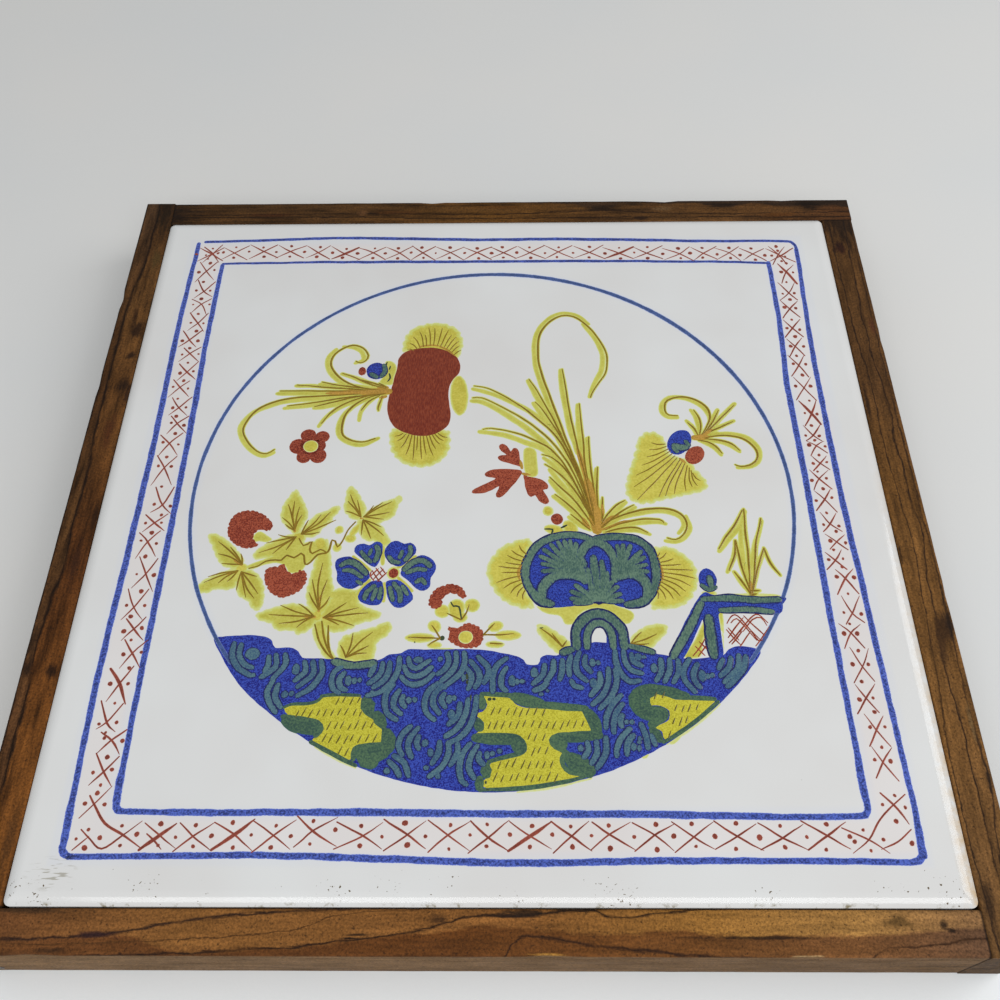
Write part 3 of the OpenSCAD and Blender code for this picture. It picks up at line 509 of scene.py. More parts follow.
# Each rail: its node, its chips as (place along it, half length, depth) in mm, how far its edges are
# rounded, and its wood
RAILS = [
    dict(node="rail_front", turns=0, seed=1, contrast=0.42, ease=0.8,
         chips=[(-92, 5, 0.2), (12, 5, 0.3), (64, 4, 0.25)],
         tones=[
             (-105, "#5A371D"), (-60, "#805529"), (8, "#7A4F25"), (45, "#8C612B"), (76, "#966D39"),
             (98, "#86623D")],
         side=[(-109, "#745839"), (100, "#654A2C")],
         zones=[
             ([(-109,0.3),(-92,0.34),(-76,0.45),(-62,0.1),(-48,0.14),(-36,0.22),(-26,0.34),(-12,0.5),
              (0,0.6),(10,0.56),(22,0.47),(31,0.49),(36,0.55),(45,0.47),(53,0.4),(62,0.46),(77,0.48),
              (87,0.53),(95,0.6),(100,0.62)], [(-100, "#603B1D"), (-5, "#5A3413"), (40, "#663F1B"),
              (74, "#704927"), (98, "#5C402B")])],
         lines=[
             ([(-109,0.32),(-92,0.35),(-80,0.42),(-76,0.47),(-70,0.57),(-65,0.68),(-55,0.81),(-44,0.9),
              (-34,0.97),(100,1.2)], 0.06, "#2A1A12"),
             ([(-109,-0.1),(-62,0.06),(-55,0.09),(-48,0.15),(-42,0.17),(-36,0.23),(-31,0.3),(-26,0.35),
              (-22,0.4),(-16,0.49),(-12,0.59),(-8,0.7),(-4,0.82),(0,0.87),(5,0.84),(12,0.9),(20,0.96),
              (24,0.84),(28,0.81),(33,0.87),(38,0.94),(46,1.2),(100,1.3)], 0.055, "#231309"),
             ([(-109,0.2),(-70,0.3),(-40,0.52),(-30,0.86),(-10,1.1),(100,1.2)], 0.03, "#4A2E14"),
             ([(-109,-0.3),(2,-0.1),(8,0.42),(14,0.36),(22,0.22),(32,0.13),(40,0.05),
              (100,-0.3)], 0.07, "#2E1A0D"),
             ([(-109,-0.4),(70,-0.2),(80,0.18),(88,0.26),(94,0.34),(100,0.4)], 0.05, "#38210F")],
         blots=[
             (-79, 0.42, 4.5, 0.8, "#2A181A"), (-26, 0.44, 3, 0.25, "#100A08"),
             (-27.5, 0.37, 2, 0.2, "#100A08"), (-47, 0.91, 3.5, 0.25, "#22140C"),
             (-10, 0.76, 2, 0.9, "#3A2412"), (8, 0.9, 5, 0.8, "#1C140E"), (4, 0.83, 7, 0.35, "#241710"),
             (17, 0.97, 6, 0.35, "#20150C"), (92, 0.66, 0.8, 1, "#1A0F08"),
             (93.4, 0.55, 0.9, 0.5, "#1A0F08"), (83, 0.72, 3.4, 1.3, "#5A4120"),
             (12.5, 0.05, 4, 0.3, "#A97A36"), (64, 0.03, 2.4, 0.2, "#B7986A"),
             # The blot at -95 darkens the rail beside the tile at the front-left corner
             (55, 0.4, 13, 0.35, "#23150B"), (-95, 0.95, 8, 0.8, "#3E2A18"), (-88, 0.1, 3, 0.6, "#3A2412")]),
    dict(node="rail_right", turns=1, seed=2, contrast=0.6, ease=0.5, chips=[(-30, 3, 0.15), (52, 3, 0.15)],
         tones=[(-105, "#644626"), (-62, "#704D26"), (5, "#64431E"), (35, "#52361A"), (80, "#53371A")],
         side=[(-109, "#4A3318"), (100, "#3E2A14")],
         zones=[],
         lines=[
             ([(-109,0.5),(-81,0.44),(-70,0.46),(-60,0.44),(-52,0.5),(-47,0.5),(-38,0.44),(-28,0.42),
              (-22,0.38),(-17,0.3),(-12,0.23),(-4,0.32),(0,0.34),(5,0.32),(9,0.29),(13,0.36),(18,0.37),
              (24,0.3),(36,0.33),(42,0.4),(48,0.43),(54,0.4),(60,0.46),(66,0.4),(80,0.36),
              (100,0.3)], 0.05, "#1D1008"),
             ([(-109,0.8),(-70,0.9),(-50,0.75),(-25,0.62),(-14,0.55),(-8,0.56),(-4,0.62),(0,0.64),(8,0.66),
              (15,0.7),(30,0.66),(60,0.78),(100,0.8)], 0.04, "#24160B"),
             ([(-109,0.25),(-90,0.3),(-74,0.12),(-55,0.16),(-30,0.1),(0,0.12),(40,0.14),
              (100,0.1)], 0.05, "#2C1B0D")],
         blots=[
             (-37, 0.3, 4, 2.2, "#2B1A0D"), (-36, 0.12, 5, 0.9, "#1E120A"), (-73, 0.1, 4, 0.8, "#22150B"),
             (-16, 0.95, 4, 0.5, "#24170C"), (-99, 0.8, 5, 1.2, "#2C1C0E"), (30, 0.9, 7, 0.5, "#2B1B0D"),
             (57, 0.2, 3, 0.8, "#4E2A17"), (88, 0.6, 3, 1.6, "#35170F"), (-60, 0.2, 4, 0.5, "#6A5232"),
             # The blot at 100 darkens the rail's end at the back corner
             (100, 0.45, 13, 7, "#1C1109"), (-40, 0.45, 6, 2, "#3E2814")]),
    dict(node="rail_back", turns=2, seed=3, contrast=0.8, ease=0.5,
         chips=[(-88, 2, 0.3), (-52, 4, 0.3), (20, 4, 0.25)],
         tones=[
             (-105, "#4C2E15"), (-72, "#583A1B"), (-38, "#482F15"), (0, "#583914"), (52, "#462E15"),
             (100, "#3C260E")],
         side=[(-109, "#3A2713"), (100, "#3A2713")],
         zones=[
             ([(-109,0.4),(-98,0.3),(-90,0.36),(-80,0.2),(-72,0.34),(-60,0.15),(-40,0.2),(-33,0.36),
              (-20,0.12),(100,0.08)], [(-109, "#2A1C11"), (-40, "#332213"), (100, "#342315")])],
         lines=[
             ([(-109,0.6),(-60,0.66),(-30,0.5),(0,0.62),(40,0.55),(100,0.6)], 0.05, "#190D06"),
             ([(-109,0.85),(-40,0.8),(20,0.8),(40,0.72),(100,0.7)], 0.05, "#1B0F07")],
         blots=[
             (-97, 0.35, 4, 2.4, "#160D06"), (-88, 0.7, 6, 1, "#54300F"), (-52, 0.4, 3.4, 1.2, "#5E452A"),
             (-45, 0.85, 3, 0.8, "#20120A"), (-33, 0.4, 5, 1.4, "#1A110A"), (0, 0.3, 8, 0.8, "#56330F"),
             (30, 0.5, 7, 0.7, "#4A2C10"), (41, 0.5, 1.6, 1.8, "#604024"), (70, 0.6, 8, 0.8, "#3E220E"),
             # The blot at 101 darkens the rail's end at the back corner
             (101, 0.5, 10, 6, "#1C1109"), (-86, 0.5, 10, 2, "#5A3B1C"), (10, 0.4, 14, 1.5, "#5C3D1A")]),
    dict(node="rail_left", turns=3, seed=4, contrast=0.8, ease=0.5, chips=[(-70, 2.5, 0.35), (-38, 3, 0.2)],
         tones=[(-105, "#3C250F"), (-70, "#5C3D1D"), (-12, "#503114"), (20, "#4C2A0F"), (66, "#663D17")],
         side=[(-109, "#443018"), (100, "#443018")],
         zones=[
             ([(-109,0.5),(-92,0.48),(-85,0.47),(-78,0.4),(-70,0.3),(-62,0.26),(-40,0.27),(-22,0.28),
              (-10,0.38),(0,0.37),(10,0.36),(20,0.42),(30,0.3),(42,0.25),(58,0.32),(74,0.32),(100,0.28)],
              [(-109, "#432E1B"), (-70, "#4C3117"), (-38, "#3A230E"), (10, "#4E3319"), (60, "#58391F")])],
         lines=[
             ([(-109,0.48),(-92,0.49),(-85,0.47),(-78,0.4),(-70,0.3),(-62,0.26),(-50,0.26),(-40,0.27),
              (-30,0.3),(-22,0.28),(-15,0.32),(-10,0.38),(0,0.37),(10,0.36),(15,0.38),(20,0.42),(25,0.36),
              (30,0.3),(36,0.27),(42,0.25),(50,0.3),(58,0.32),(66,0.3),(74,0.32),
              (100,0.28)], 0.1, "#160B05"), ([(-109,0.04),(-60,0.03),(0,0.04),(100,0.04)], 0.06, "#1B0F08")],
         blots=[
             (-57, 0.78, 3.4, 2, "#1E1008"), (-47.5, 0.78, 1.4, 1.4, "#1A0E08"),
             (-37, 0.78, 3, 1.8, "#1C0F08"), (-62, 0.6, 4, 0.8, "#2C180A"), (48, 0.82, 1.8, 1.8, "#150B06"),
             (47, 0.15, 2.6, 1.2, "#1C110A"), (-20, 0.7, 6, 1.4, "#4A2813"), (20, 0.7, 7, 1.2, "#3A2010"),
             (-85, 0.8, 6, 1.4, "#48361A"), (-33, 0.95, 4, 0.6, "#24130A"), (88, 0.8, 10, 1.2, "#4E3014"),
             # The blot at -107 darkens the rail's end at the back corner
             (5, 0.9, 4, 0.8, "#2C1809"), (-107, 0.75, 13, 3, "#1E1409"), (40, 0.12, 6, 1, "#2C1C0E")]),
]

for rail in RAILS:
    chips = [[length * MM for length in chip] for chip in rail["chips"]]
    piece = shape_rail(rail["node"] + "_strip", rail["turns"], chips, rail["ease"] * MM)
    features = (rail[key] for key in ("turns", "seed", "contrast", "tones", "side", "zones", "lines",
                                      "blots"))
    dress(piece, wood("stained_" + rail["node"], *features), [rail["node"]])


# Tile

TILE_EASE_W = 3.2 * MM
TILE_EASE_DROP = 1.2 * MM
TILE_CORNER_R = 1.5 * MM
TILE_BANDS = 10


def shape_tile():
    """The tile: a slab cut across in narrow bands near its edges, whose top is then lowered band by
    band into a rounded cushion edge, and whose corners are drawn in to a small radius."""
    block = add_block("glazed_tile", (-tile_half, -tile_half, tile_low.z), (tile_half, tile_half, tile_top))
    ease_r = (TILE_EASE_W ** 2 + TILE_EASE_DROP ** 2) / (2 * TILE_EASE_DROP)
    flat_half = tile_half - TILE_EASE_W
    angle = math.asin(TILE_EASE_W / ease_r)
    bands = [flat_half + ease_r * math.sin(angle * i / TILE_BANDS) for i in range(TILE_BANDS)]
    for axis in (0, 1):
        cut_across(axis, [side * band for side in (-1, 1) for band in bands])
    bpy.ops.object.mode_set(mode="OBJECT")
    corner_from = tile_half - TILE_CORNER_R
    for vertex in block.data.vertices:
        co = vertex.co
        reach = max(abs(co.x), abs(co.y)) - flat_half
        if near(co.z, tile_top) and reach > 0:
            co.z -= ease_r - math.sqrt(ease_r ** 2 - reach ** 2)
        dx, dy = abs(co.x) - corner_from, abs(co.y) - corner_from
        if dx > 0 and dy > 0:
            share = max(dx, dy) / math.hypot(dx, dy)
            co.x = math.copysign(corner_from + dx * share, co.x)
            co.y = math.copysign(corner_from + dy * share, co.y)
    bpy.ops.object.shade_smooth_by_angle(angle=math.radians(30))
    return block


dress(shape_tile(), glaze(), ["tile"])


# Painting: the fired colours, laid on the glaze by hand

PAINT_UNIT = 0.77 * MM
PAINT_MIDDLE = Vector((0, 1.0 * MM))
SUNK = 0.005 * MM
# How far each later stroke of a coat lies above the earlier ones
LAYER = 5e-9
# Section of a stroke: shares of its half width and of its height
RIBBON = [(-1.0, 0.0), (-0.58, 0.75), (0.0, 1.0), (0.58, 0.75), (1.0, 0.0)]
# A stroke's last ring at each tip: how far it lies beyond the line, its half width and its height
TIP_REACH, TIP_HALF, TIP_HEIGHT = 0.65, 0.72, 0.85
# How much, and over what length, a stroke's width wavers
WAVER = 0.16
WAVER_LENGTH = 2.5 * MM
# How far a hand's stroke strays from its line, and over what length
STRAY = 0.12 * MM
STRAY_LENGTH = 4 * MM


def at(x, y):
    """Spot on the tile of a place in hundredths of the ring's radius, from the ring's middle."""
    return PAINT_MIDDLE + Vector((x, y)) * PAINT_UNIT


def spots_of(places):
    return [at(*place) for place in places]


def curve_through(spots, closed=False, step=1.2 * MM):
    """Smooth curve through spots on the tile, in short steps."""
    count = len(spots)

    def knot(i):
        if closed:
            return spots[i % count]
        if i < 0:
            return 2 * spots[0] - spots[1]
        if i >= count:
            return 2 * spots[-1] - spots[-2]
        return spots[i]

    line = []
    for i in range(count if closed else count - 1):
        a, b, c, d = (knot(i + k) for k in (-1, 0, 1, 2))
        parts = max(1, math.ceil((c - b).length / step))
        for k in range(parts):
            t = k / parts
            line.append(b + (c - a) * (t / 2) + (2 * a - 5 * b + 4 * c - d) * (t * t / 2)
                        + (3 * b - a - 3 * c + d) * (t * t * t / 2))
    return line if closed else line + [spots[-1]]


def unsteady(line, amount, size, seed=0.0):
    """Moves each spot of a line a little, as a hand and a brush do."""
    moved = []
    for spot in line:
        shift = noise.noise_vector(Vector((spot.x / size, spot.y / size, seed)))
        moved.append(spot + Vector((shift.x, shift.y)) * amount)
    return moved


def inwards_at(line, i):
    """The way inwards at one spot of a closed line that runs anticlockwise."""
    ahead = line[(i + 1) % len(line)] - line[i - 1]
    return Vector((-ahead.y, ahead.x)).normalized()


def scalloped(line, pitch, depth, grow):
    """Moves a closed line outwards, and gives it round lobes one pitch long, with notches one depth deep."""
    total = sum((line[i] - line[i - 1]).length for i in range(len(line)))
    lobes = max(3, round(total / pitch))
    run, out = 0.0, []
    for i, spot in enumerate(line):
        notch = 1 - abs(math.sin(math.pi * run * lobes / total))
        out.append(spot + inwards_at(line, i) * (depth * notch * notch - grow))
        run += (line[(i + 1) % len(line)] - spot).length
    return out


def turned_left(line):
    """The closed line, running anticlockwise."""
    double_area = sum(line[i - 1].x * line[i].y - line[i].x * line[i - 1].y for i in range(len(line)))
    return line if double_area > 0 else line[::-1]


def is_inside(spot, line):
    hit = False
    for i, b in enumerate(line):
        a = line[i - 1]
        if (a.y > spot.y) != (b.y > spot.y) and spot.x < a.x + (spot.y - a.y) / (b.y - a.y) * (b.x - a.x):
            hit = not hit
    return hit


class Rim:
    """Measures how far a spot is from a closed line."""

    def __init__(self, line):
        self.line = line
        self.tree = kdtree.KDTree(len(line))
        for i, spot in enumerate(line):
            self.tree.insert((spot.x, spot.y, 0), i)
        self.tree.balance()

    def distance(self, spot):
        nearest = self.tree.find((spot.x, spot.y, 0))[1]
        best = math.inf
        for i in (nearest, (nearest + 1) % len(self.line)):
            a, b = self.line[i - 1], self.line[i]
            share = max(0.0, min(1.0, (spot - a).dot(b - a) / max(1e-12, (b - a).length_squared)))
            best = min(best, (spot - a - (b - a) * share).length)
        return best


class Coat:
    """One fired colour in the making. Its strokes and areas go into one mesh. Each rises from the
    glaze at its rims to its full height: the share of it that a spot has reached is kept in the
    attribute cover, and the attribute tone tells how strong a stroke's colour is."""

    def __init__(self, height):
        self.mesh = bmesh.new()
        self.cover = self.mesh.verts.layers.float.new("cover")
        self.tone = self.mesh.verts.layers.float.new("tone")
        self.height = height
        self.laid = 0

    def place(self, spot, share, tone):
        lift = self.height * share * (2 - share) + self.laid * LAYER if share > 0 else -SUNK
        vertex = self.mesh.verts.new((spot.x, spot.y, tile_top + lift))
        vertex[self.cover] = share
        vertex[self.tone] = tone
        return vertex

    def stroke(self, line, width, tips=(0.5, 0.5), tone=None, strength=1.0):
        """A ribbon along a line, domed across, with rounded tips."""
        self.laid += 1
        tone = chance.uniform(-1, 1) if tone is None else tone
        last = len(line) - 1
        runs = [(line[min(i + 1, last)] - line[max(i - 1, 0)]).normalized() for i in range(last + 1)]
        halves = []
        for i, spot in enumerate(line):
            share = i / last
            taper = min(1, tips[0] + (1 - tips[0]) * share * 3, tips[1] + (1 - tips[1]) * (1 - share) * 3)
            waver = noise.noise(Vector((spot.x / WAVER_LENGTH, spot.y / WAVER_LENGTH, self.laid * 0.7)))
            halves.append(width / 2 * taper * (1 + WAVER * waver))
        stations = [(line[0] - runs[0] * halves[0] * TIP_REACH, runs[0], halves[0] * TIP_HALF, TIP_HEIGHT)]
        stations += [(spot, run, half, 1.0) for spot, run, half in zip(line, runs, halves)]
        stations.append((line[-1] + runs[-1] * halves[-1] * TIP_REACH, runs[-1], halves[-1] * TIP_HALF,
                         TIP_HEIGHT))
        rings = []
        for spot, run, half, share in stations:
            side = Vector((-run.y, run.x)) * half
            rings.append([self.place(spot + side * offset, height * share * strength, tone)
                          for offset, height in RIBBON])
        face = self.mesh.faces.new
        for a, b in zip(rings, rings[1:]):
            for j in range(4):
                face((a[j], b[j], b[j + 1], a[j + 1]))
            face((a[4], b[4], b[0], a[0]))
        start = self.place(line[0] - runs[0] * halves[0], 0, tone)
        end = self.place(line[-1] + runs[-1] * halves[-1], 0, tone)
        for j in range(4):
            face((start, rings[0][j], rings[0][j + 1]))
            face((end, rings[-1][j + 1], rings[-1][j]))
        face((start, rings[0][4], rings[0][0]))
        face((end, rings[-1][0], rings[-1][4]))

    def strokes(self, table, width, **settings):
        """Strokes of one width."""
        for places in table:
            line = unsteady(curve_through(spots_of(places)), STRAY, STRAY_LENGTH, len(places))
            self.stroke(line, width * PAINT_UNIT, **settings)

    def wide_strokes(self, table, scale=1.0, wider=0.0, **settings):
        """Strokes of a table of (width, places)."""
        for width, places in table:
            self.strokes([places], scale * width + wider, **settings)

    def area(self, line, rim, tone=0.0):
        """A filled outline that rises over the width of its rim."""
        self.laid += 1
        line = turned_left(line)
        edge = Rim(line)
        spots = list(line)
        for depth in (0.35 * rim, rim):
            for i, spot in enumerate(line):
                inner = spot + inwards_at(line, i) * depth
                if is_inside(inner, line) and edge.distance(inner) > 0.8 * depth:
                    spots.append(inner)
        made = geometry.delaunay_2d_cdt(spots, [], [list(range(len(line)))], 1, 1e-7)
        vertices, rim_at = [], {}
        for i, (spot, sources) in enumerate(zip(made[0], made[3])):
            on_rim = any(source < len(line) for source in sources)
            share = 0.0 if on_rim else max(0.05, min(1.0, edge.distance(spot) / rim))
            vertices.append(self.place(spot, share * (2 - share), tone))
            for source in sources:
                if source < len(line):
                    rim_at[source] = i
        for corners_of_face in made[2]:
            a, b, c = (vertices[i] for i in corners_of_face)
            up = (b.co - a.co).xy.cross((c.co - a.co).xy) > 0
            self.mesh.faces.new((a, b, c) if up else (a, c, b))
        under = [vertices[rim_at[i]] for i in range(len(line)) if i in rim_at]
        self.mesh.faces.new(under[::-1])

    def areas(self, table, rim, **settings):
        for places in table:
            self.outline(places, rim, **settings)

    def outline(self, places, rim, pitch=0.0, depth=0.0, grow=0.0, rough=0.12, tone=None):
        """An area inside a smooth outline; pitch and depth give it a scalloped edge."""
        fine = 0.3 * PAINT_UNIT * pitch if pitch else 1.0 * MM
        line = turned_left(curve_through(spots_of(places), True, fine))
        if pitch:
            line = scalloped(line, pitch * PAINT_UNIT, depth * PAINT_UNIT, grow * PAINT_UNIT)
        tone = chance.uniform(-1, 1) if tone is None else tone
        self.area(unsteady(line, rough * MM, 1.6 * MM), rim * PAINT_UNIT, tone)

    def spot(self, x, y, half_w, half_h, turn=0.0, rim=0.6, tone=None, rough=0.12):
        """A round or oval spot."""
        turn = math.radians(turn)
        places = []
        for k in range(8):
            a = k * math.pi / 4
            u, v = half_w * math.cos(a), half_h * math.sin(a)
            places.append((x + u * math.cos(turn) - v * math.sin(turn),
                           y + u * math.sin(turn) + v * math.cos(turn)))
        self.outline(places, rim, rough=rough, tone=tone)

    def spots(self, table, wider=0.0, **settings):
        """Spots of a table of (x, y, half width, half height), with or without a turn in degrees."""
        for x, y, half_w, half_h, *turn in table:
            self.spot(x, y, half_w + wider, half_h + wider, *turn, **settings)

    def finish(self, name, material, replaces=()):
        for edge in self.mesh.edges:
            edge.smooth = not all(vertex.co.z < tile_top for vertex in edge.verts)
        for face in self.mesh.faces:
            face.smooth = True
        data = bpy.data.meshes.new(name)
        self.mesh.to_mesh(data)
        self.mesh.free()
        piece = bpy.data.objects.new(name, data)
        bpy.context.scene.collection.objects.link(piece)
        return dress(piece, material, replaces)


# Straight lines and ring, in millimetres from the tile's middle

OUTER_LINE = {
    "front": [
        (-90.1,-88.2),(-89.5,-89.7),(-88,-90.2),(-86,-90.3),(-64,-90.1),(-48,-90),(-30,-90.4),(0,-91.4),
        (16,-91.4),(34,-91),(70,-91),(87,-91.2),(89.6,-90.8),(90.5,-89.4)],
    "left": [(-89.8,-89),(-89.9,-80),(-90.5,-52),(-90.1,-24),(-89.7,14),(-90,40),(-90.1,66),(-89.6,90.5)],
    "right": [
        (90.6,-90),(90.6,-80),(90.2,-64),(89.5,-34),(88.7,-4),(88.6,24),(88.8,46),(89.3,63),(90.1,80),
        (90.2,86.5)],
    "back": [
        (-87.6,91.2),(-80,91.4),(-49,92.5),(-30,92.2),(-4,91.4),(20,91.5),(47,90.8),(66,90.2),(86,90.1),
        (89.5,89),(90.3,86.4)],
}
INNER_LINE = {
    "front": [
        (-80.3,-79.6),(-79.7,-80.8),(-77,-80.9),(-60,-81.1),(-30,-81),(0,-81.3),(34,-81.4),(64,-81.9),
        (78.6,-81.7),(80.2,-81.3),(80.8,-80)],
    "left": [(-80.2,-80),(-80.5,-60),(-80.6,-36),(-80.6,4),(-81,36),(-81.3,52),(-81.1,81.4)],
    "right": [(80.8,-80.4),(80.3,-40),(80.3,4),(80.1,34),(80.8,49),(81.3,64),(81.2,81)],
    "back": [(-81,82),(-50,82.4),(0,82.2),(20,82.3),(50,81.9),(66,81.6),(81,80.9)],
}
# Where the blue brush slowed down, in the front corners
LINE_ENDS = [
    [(-80.3,-68),(-80.3,-76),(-79.9,-80.2),(-77,-81)], [(80.4,-66),(80.5,-76),(80.5,-80.6),(78.4,-81.8)],
    [(-90,-74),(-89.8,-84),(-89.4,-89),(-87.4,-90.2)], [(90.5,-80),(90.5,-86),(90,-90),(88,-91)]
]
# Crossings of the lattice along each side, in turned millimetres: half its height, then (x, y)s
LATTICE = [
    (3.2, [(-69.5,-86),(-62.5,-86),(-54,-85.8),(-45.5,-86),(-37,-85),(-27,-86),(-17.5,-85.8),(-8.5,-86),
     (0,-86),(9,-86),(17.5,-86),(25.5,-85.8),(35,-86),(43.5,-86),(52,-86),(62,-86),(71,-86)]),
    (2.4, [(-70,-86),(-62.5,-86),(-55.5,-85),(-47.5,-85.5),(-39,-84.3),(-34,-85.8),(-24.5,-85.5),
     (-19.5,-84),(-14.5,-85.3),(-9.5,-84.5),(-2,-84.2),(4,-84),(9,-85),(14.5,-85),(18,-84.5),(25,-85),
     (34,-84.5),(42,-84.3),(48.5,-84.5),(55,-84.5),(63,-85),(69,-85.3),(77,-86),(84,-84.5)]),
    (2.8, [(-85,-84),(-77,-84.5),(-70,-85),(-62.5,-85),(-55,-85),(-45.5,-85.5),(-37.5,-85.5),(-28.5,-86),
     (-19,-86),(-10.5,-86),(-2.5,-86),(5,-86),(13.5,-86),(21.5,-86),(28.5,-86),(36.5,-86),(45,-86),
     (53,-86.5),(61,-87),(69.5,-87),(78,-86.5),(85.5,-86)]),
    (2.7, [(-86,-85),(-79,-85.5),(-71,-85),(-65.5,-85),(-58.5,-85),(-52,-86),(-47,-85),(-40.5,-85),
     (-35,-86),(-28,-85),(-22.5,-84.5),(-16,-85.5),(-8.5,-85.5),(3,-84),(8.5,-85),(14,-85.5),(23,-84.5),
     (32,-85.5),(38,-84.5),(44,-83.5),(51.5,-85),(61,-86),(65,-84),(72,-84.5)])
]
BOLD_CROSSES = [(0,-69.5),(0,-54),(0,9),(1,25),(1,77),(2,-37.5),(2,45),(3,51.5)]
# Strokes and dots in the front corners: (width, places along it), and (x, y)
CORNER_STROKES = [
    (0.7, [(-86.3,-77.5),(-84.8,-79.6),(-81.8,-83.4),(-77.5,-85.8),(-72.9,-88.7)]),
    (0.4, [(-87.6,-82.3),(-84.6,-78.8),(-81.9,-75.4)]),
    (0.5, [(-86.6,-84.7),(-84.4,-86.6),(-81.4,-88.7),(-77.6,-86),(-73.9,-82.9)]),
    (0.4, [(-87.6,-89),(-84.6,-86.1)]), (0.65, [(84,-76.8),(86.5,-79.5),(88,-81.8),(88.8,-83.4)]),
    (0.5, [(89.2,-77.1),(85,-80.4),(82.4,-83),(79.8,-86.6),(76,-89.4)]),
    (0.5, [(74.5,-84.2),(80,-86.8),(83.6,-89.4)]), (0.45, [(89,-84.5),(85.8,-87),(82,-88.6)]),
    (0.5, [(-72.4,-85.6),(-70.6,-87),(-68.8,-88.8)])
]
CORNER_DOTS = [
    (84,-79.3),(87,-77.3),(88.7,-79.9),(86.2,-82.8),(78.9,-84.6),(76.7,-87),(82.8,-86.6),(79.8,-88.9),
    (88.6,-87.4),(-84.8,-76.9),(-87,-79.2),(-82.7,-79.4),(-85,-84.7),(-87.2,-86.7),(-82.3,-86.4),
    (-85,-88.5),(-78,-83.9),(-77.6,-88),(-74.5,-85.7)
]

# The picture: places in hundredths of the ring's radius

GROUND = [
    (-84.6,-53.4),(-82,-53),(-78,-52.7),(-73,-52.5),(-69,-53),(-66.5,-54.5),(-65.2,-56.7),(-61,-56.6),
    (-58,-58),(-56.6,-60),(-52,-60.2),(-48,-60.4),(-45,-61.3),(-40,-62),(-36,-61.6),(-33,-60.5),(-30.5,-59),
    (-27,-58.6),(-25,-57.3),(-20,-57.4),(-15,-57.2),(-8,-57.2),(-2,-57.5),(3,-58.4),(8,-59.6),(10.3,-61),
    (11,-62.3),(14.3,-62.3),(15,-60.3),(17,-59.2),(20,-59.3),(22,-58.4),(25,-58),(29,-56.8),(30.6,-55.3),
    (33,-55),(35.8,-55.5),(37,-57),(42,-56.2),(46,-57.5),(49.5,-58.7),(53,-59.3),(56,-60),(61,-60.5),
    (66,-60),(70,-59.3),(72,-57.4),(75,-56.4),(78,-56.7),(81.4,-57.8)
]
ISLANDS = [
    [(-60.5,-76.3),(-59,-75.3),(-54,-75),(-51,-74.3),(-49.8,-72.8),(-45,-72.3),(-38,-72.5),(-37.8,-75.5),
     (-36,-78),(-32.5,-79),(-30.8,-83),(-31,-86.5),(-35,-87),(-38.5,-87.5),(-39.5,-90),(-39.6,-92),
     (-44,-90),(-48,-88),(-51.5,-85.7),(-49.6,-84.6),(-48.3,-82.5),(-50,-80),(-55,-79),(-59,-78.3)],
    [(-2,-72),(2,-72.5),(6,-73),(8,-75),(12,-76),(20,-76.3),(27,-76.8),(28,-79),(30.5,-82.5),(26,-83.5),
     (19.5,-83.9),(17.3,-85.7),(18.5,-87.7),(21.5,-89),(20.4,-90.8),(20.5,-93),(22.5,-95.4),(26.5,-96.2),
     (20,-98),(12,-99.1),(5,-99.7),(-0.5,-99.9),(-2.5,-98.4),(-0.8,-96.8),(0.5,-95),(0,-93),(2,-91.5),
     (6,-90.9),(10,-89.6),(10.5,-87),(9,-84.9),(5,-84),(-2,-84),(-4.2,-83.6),(-2,-82.5),(-1.8,-80.5),
     (-3.5,-79),(-5.3,-78),(-2,-77),(-0.8,-75)],
    [(46,-70.8),(49,-71),(52,-71),(53.5,-73),(57,-73.5),(63,-73.2),(66.3,-73.8),(64,-76),(60,-79.5),
     (56,-82.5),(52,-85.3),(50,-85.6),(49.8,-83.4),(47.4,-82),(49.5,-81),(52,-79.5),(52.3,-77),(50,-75.6),
     (46.5,-75.3),(47,-73)]
]
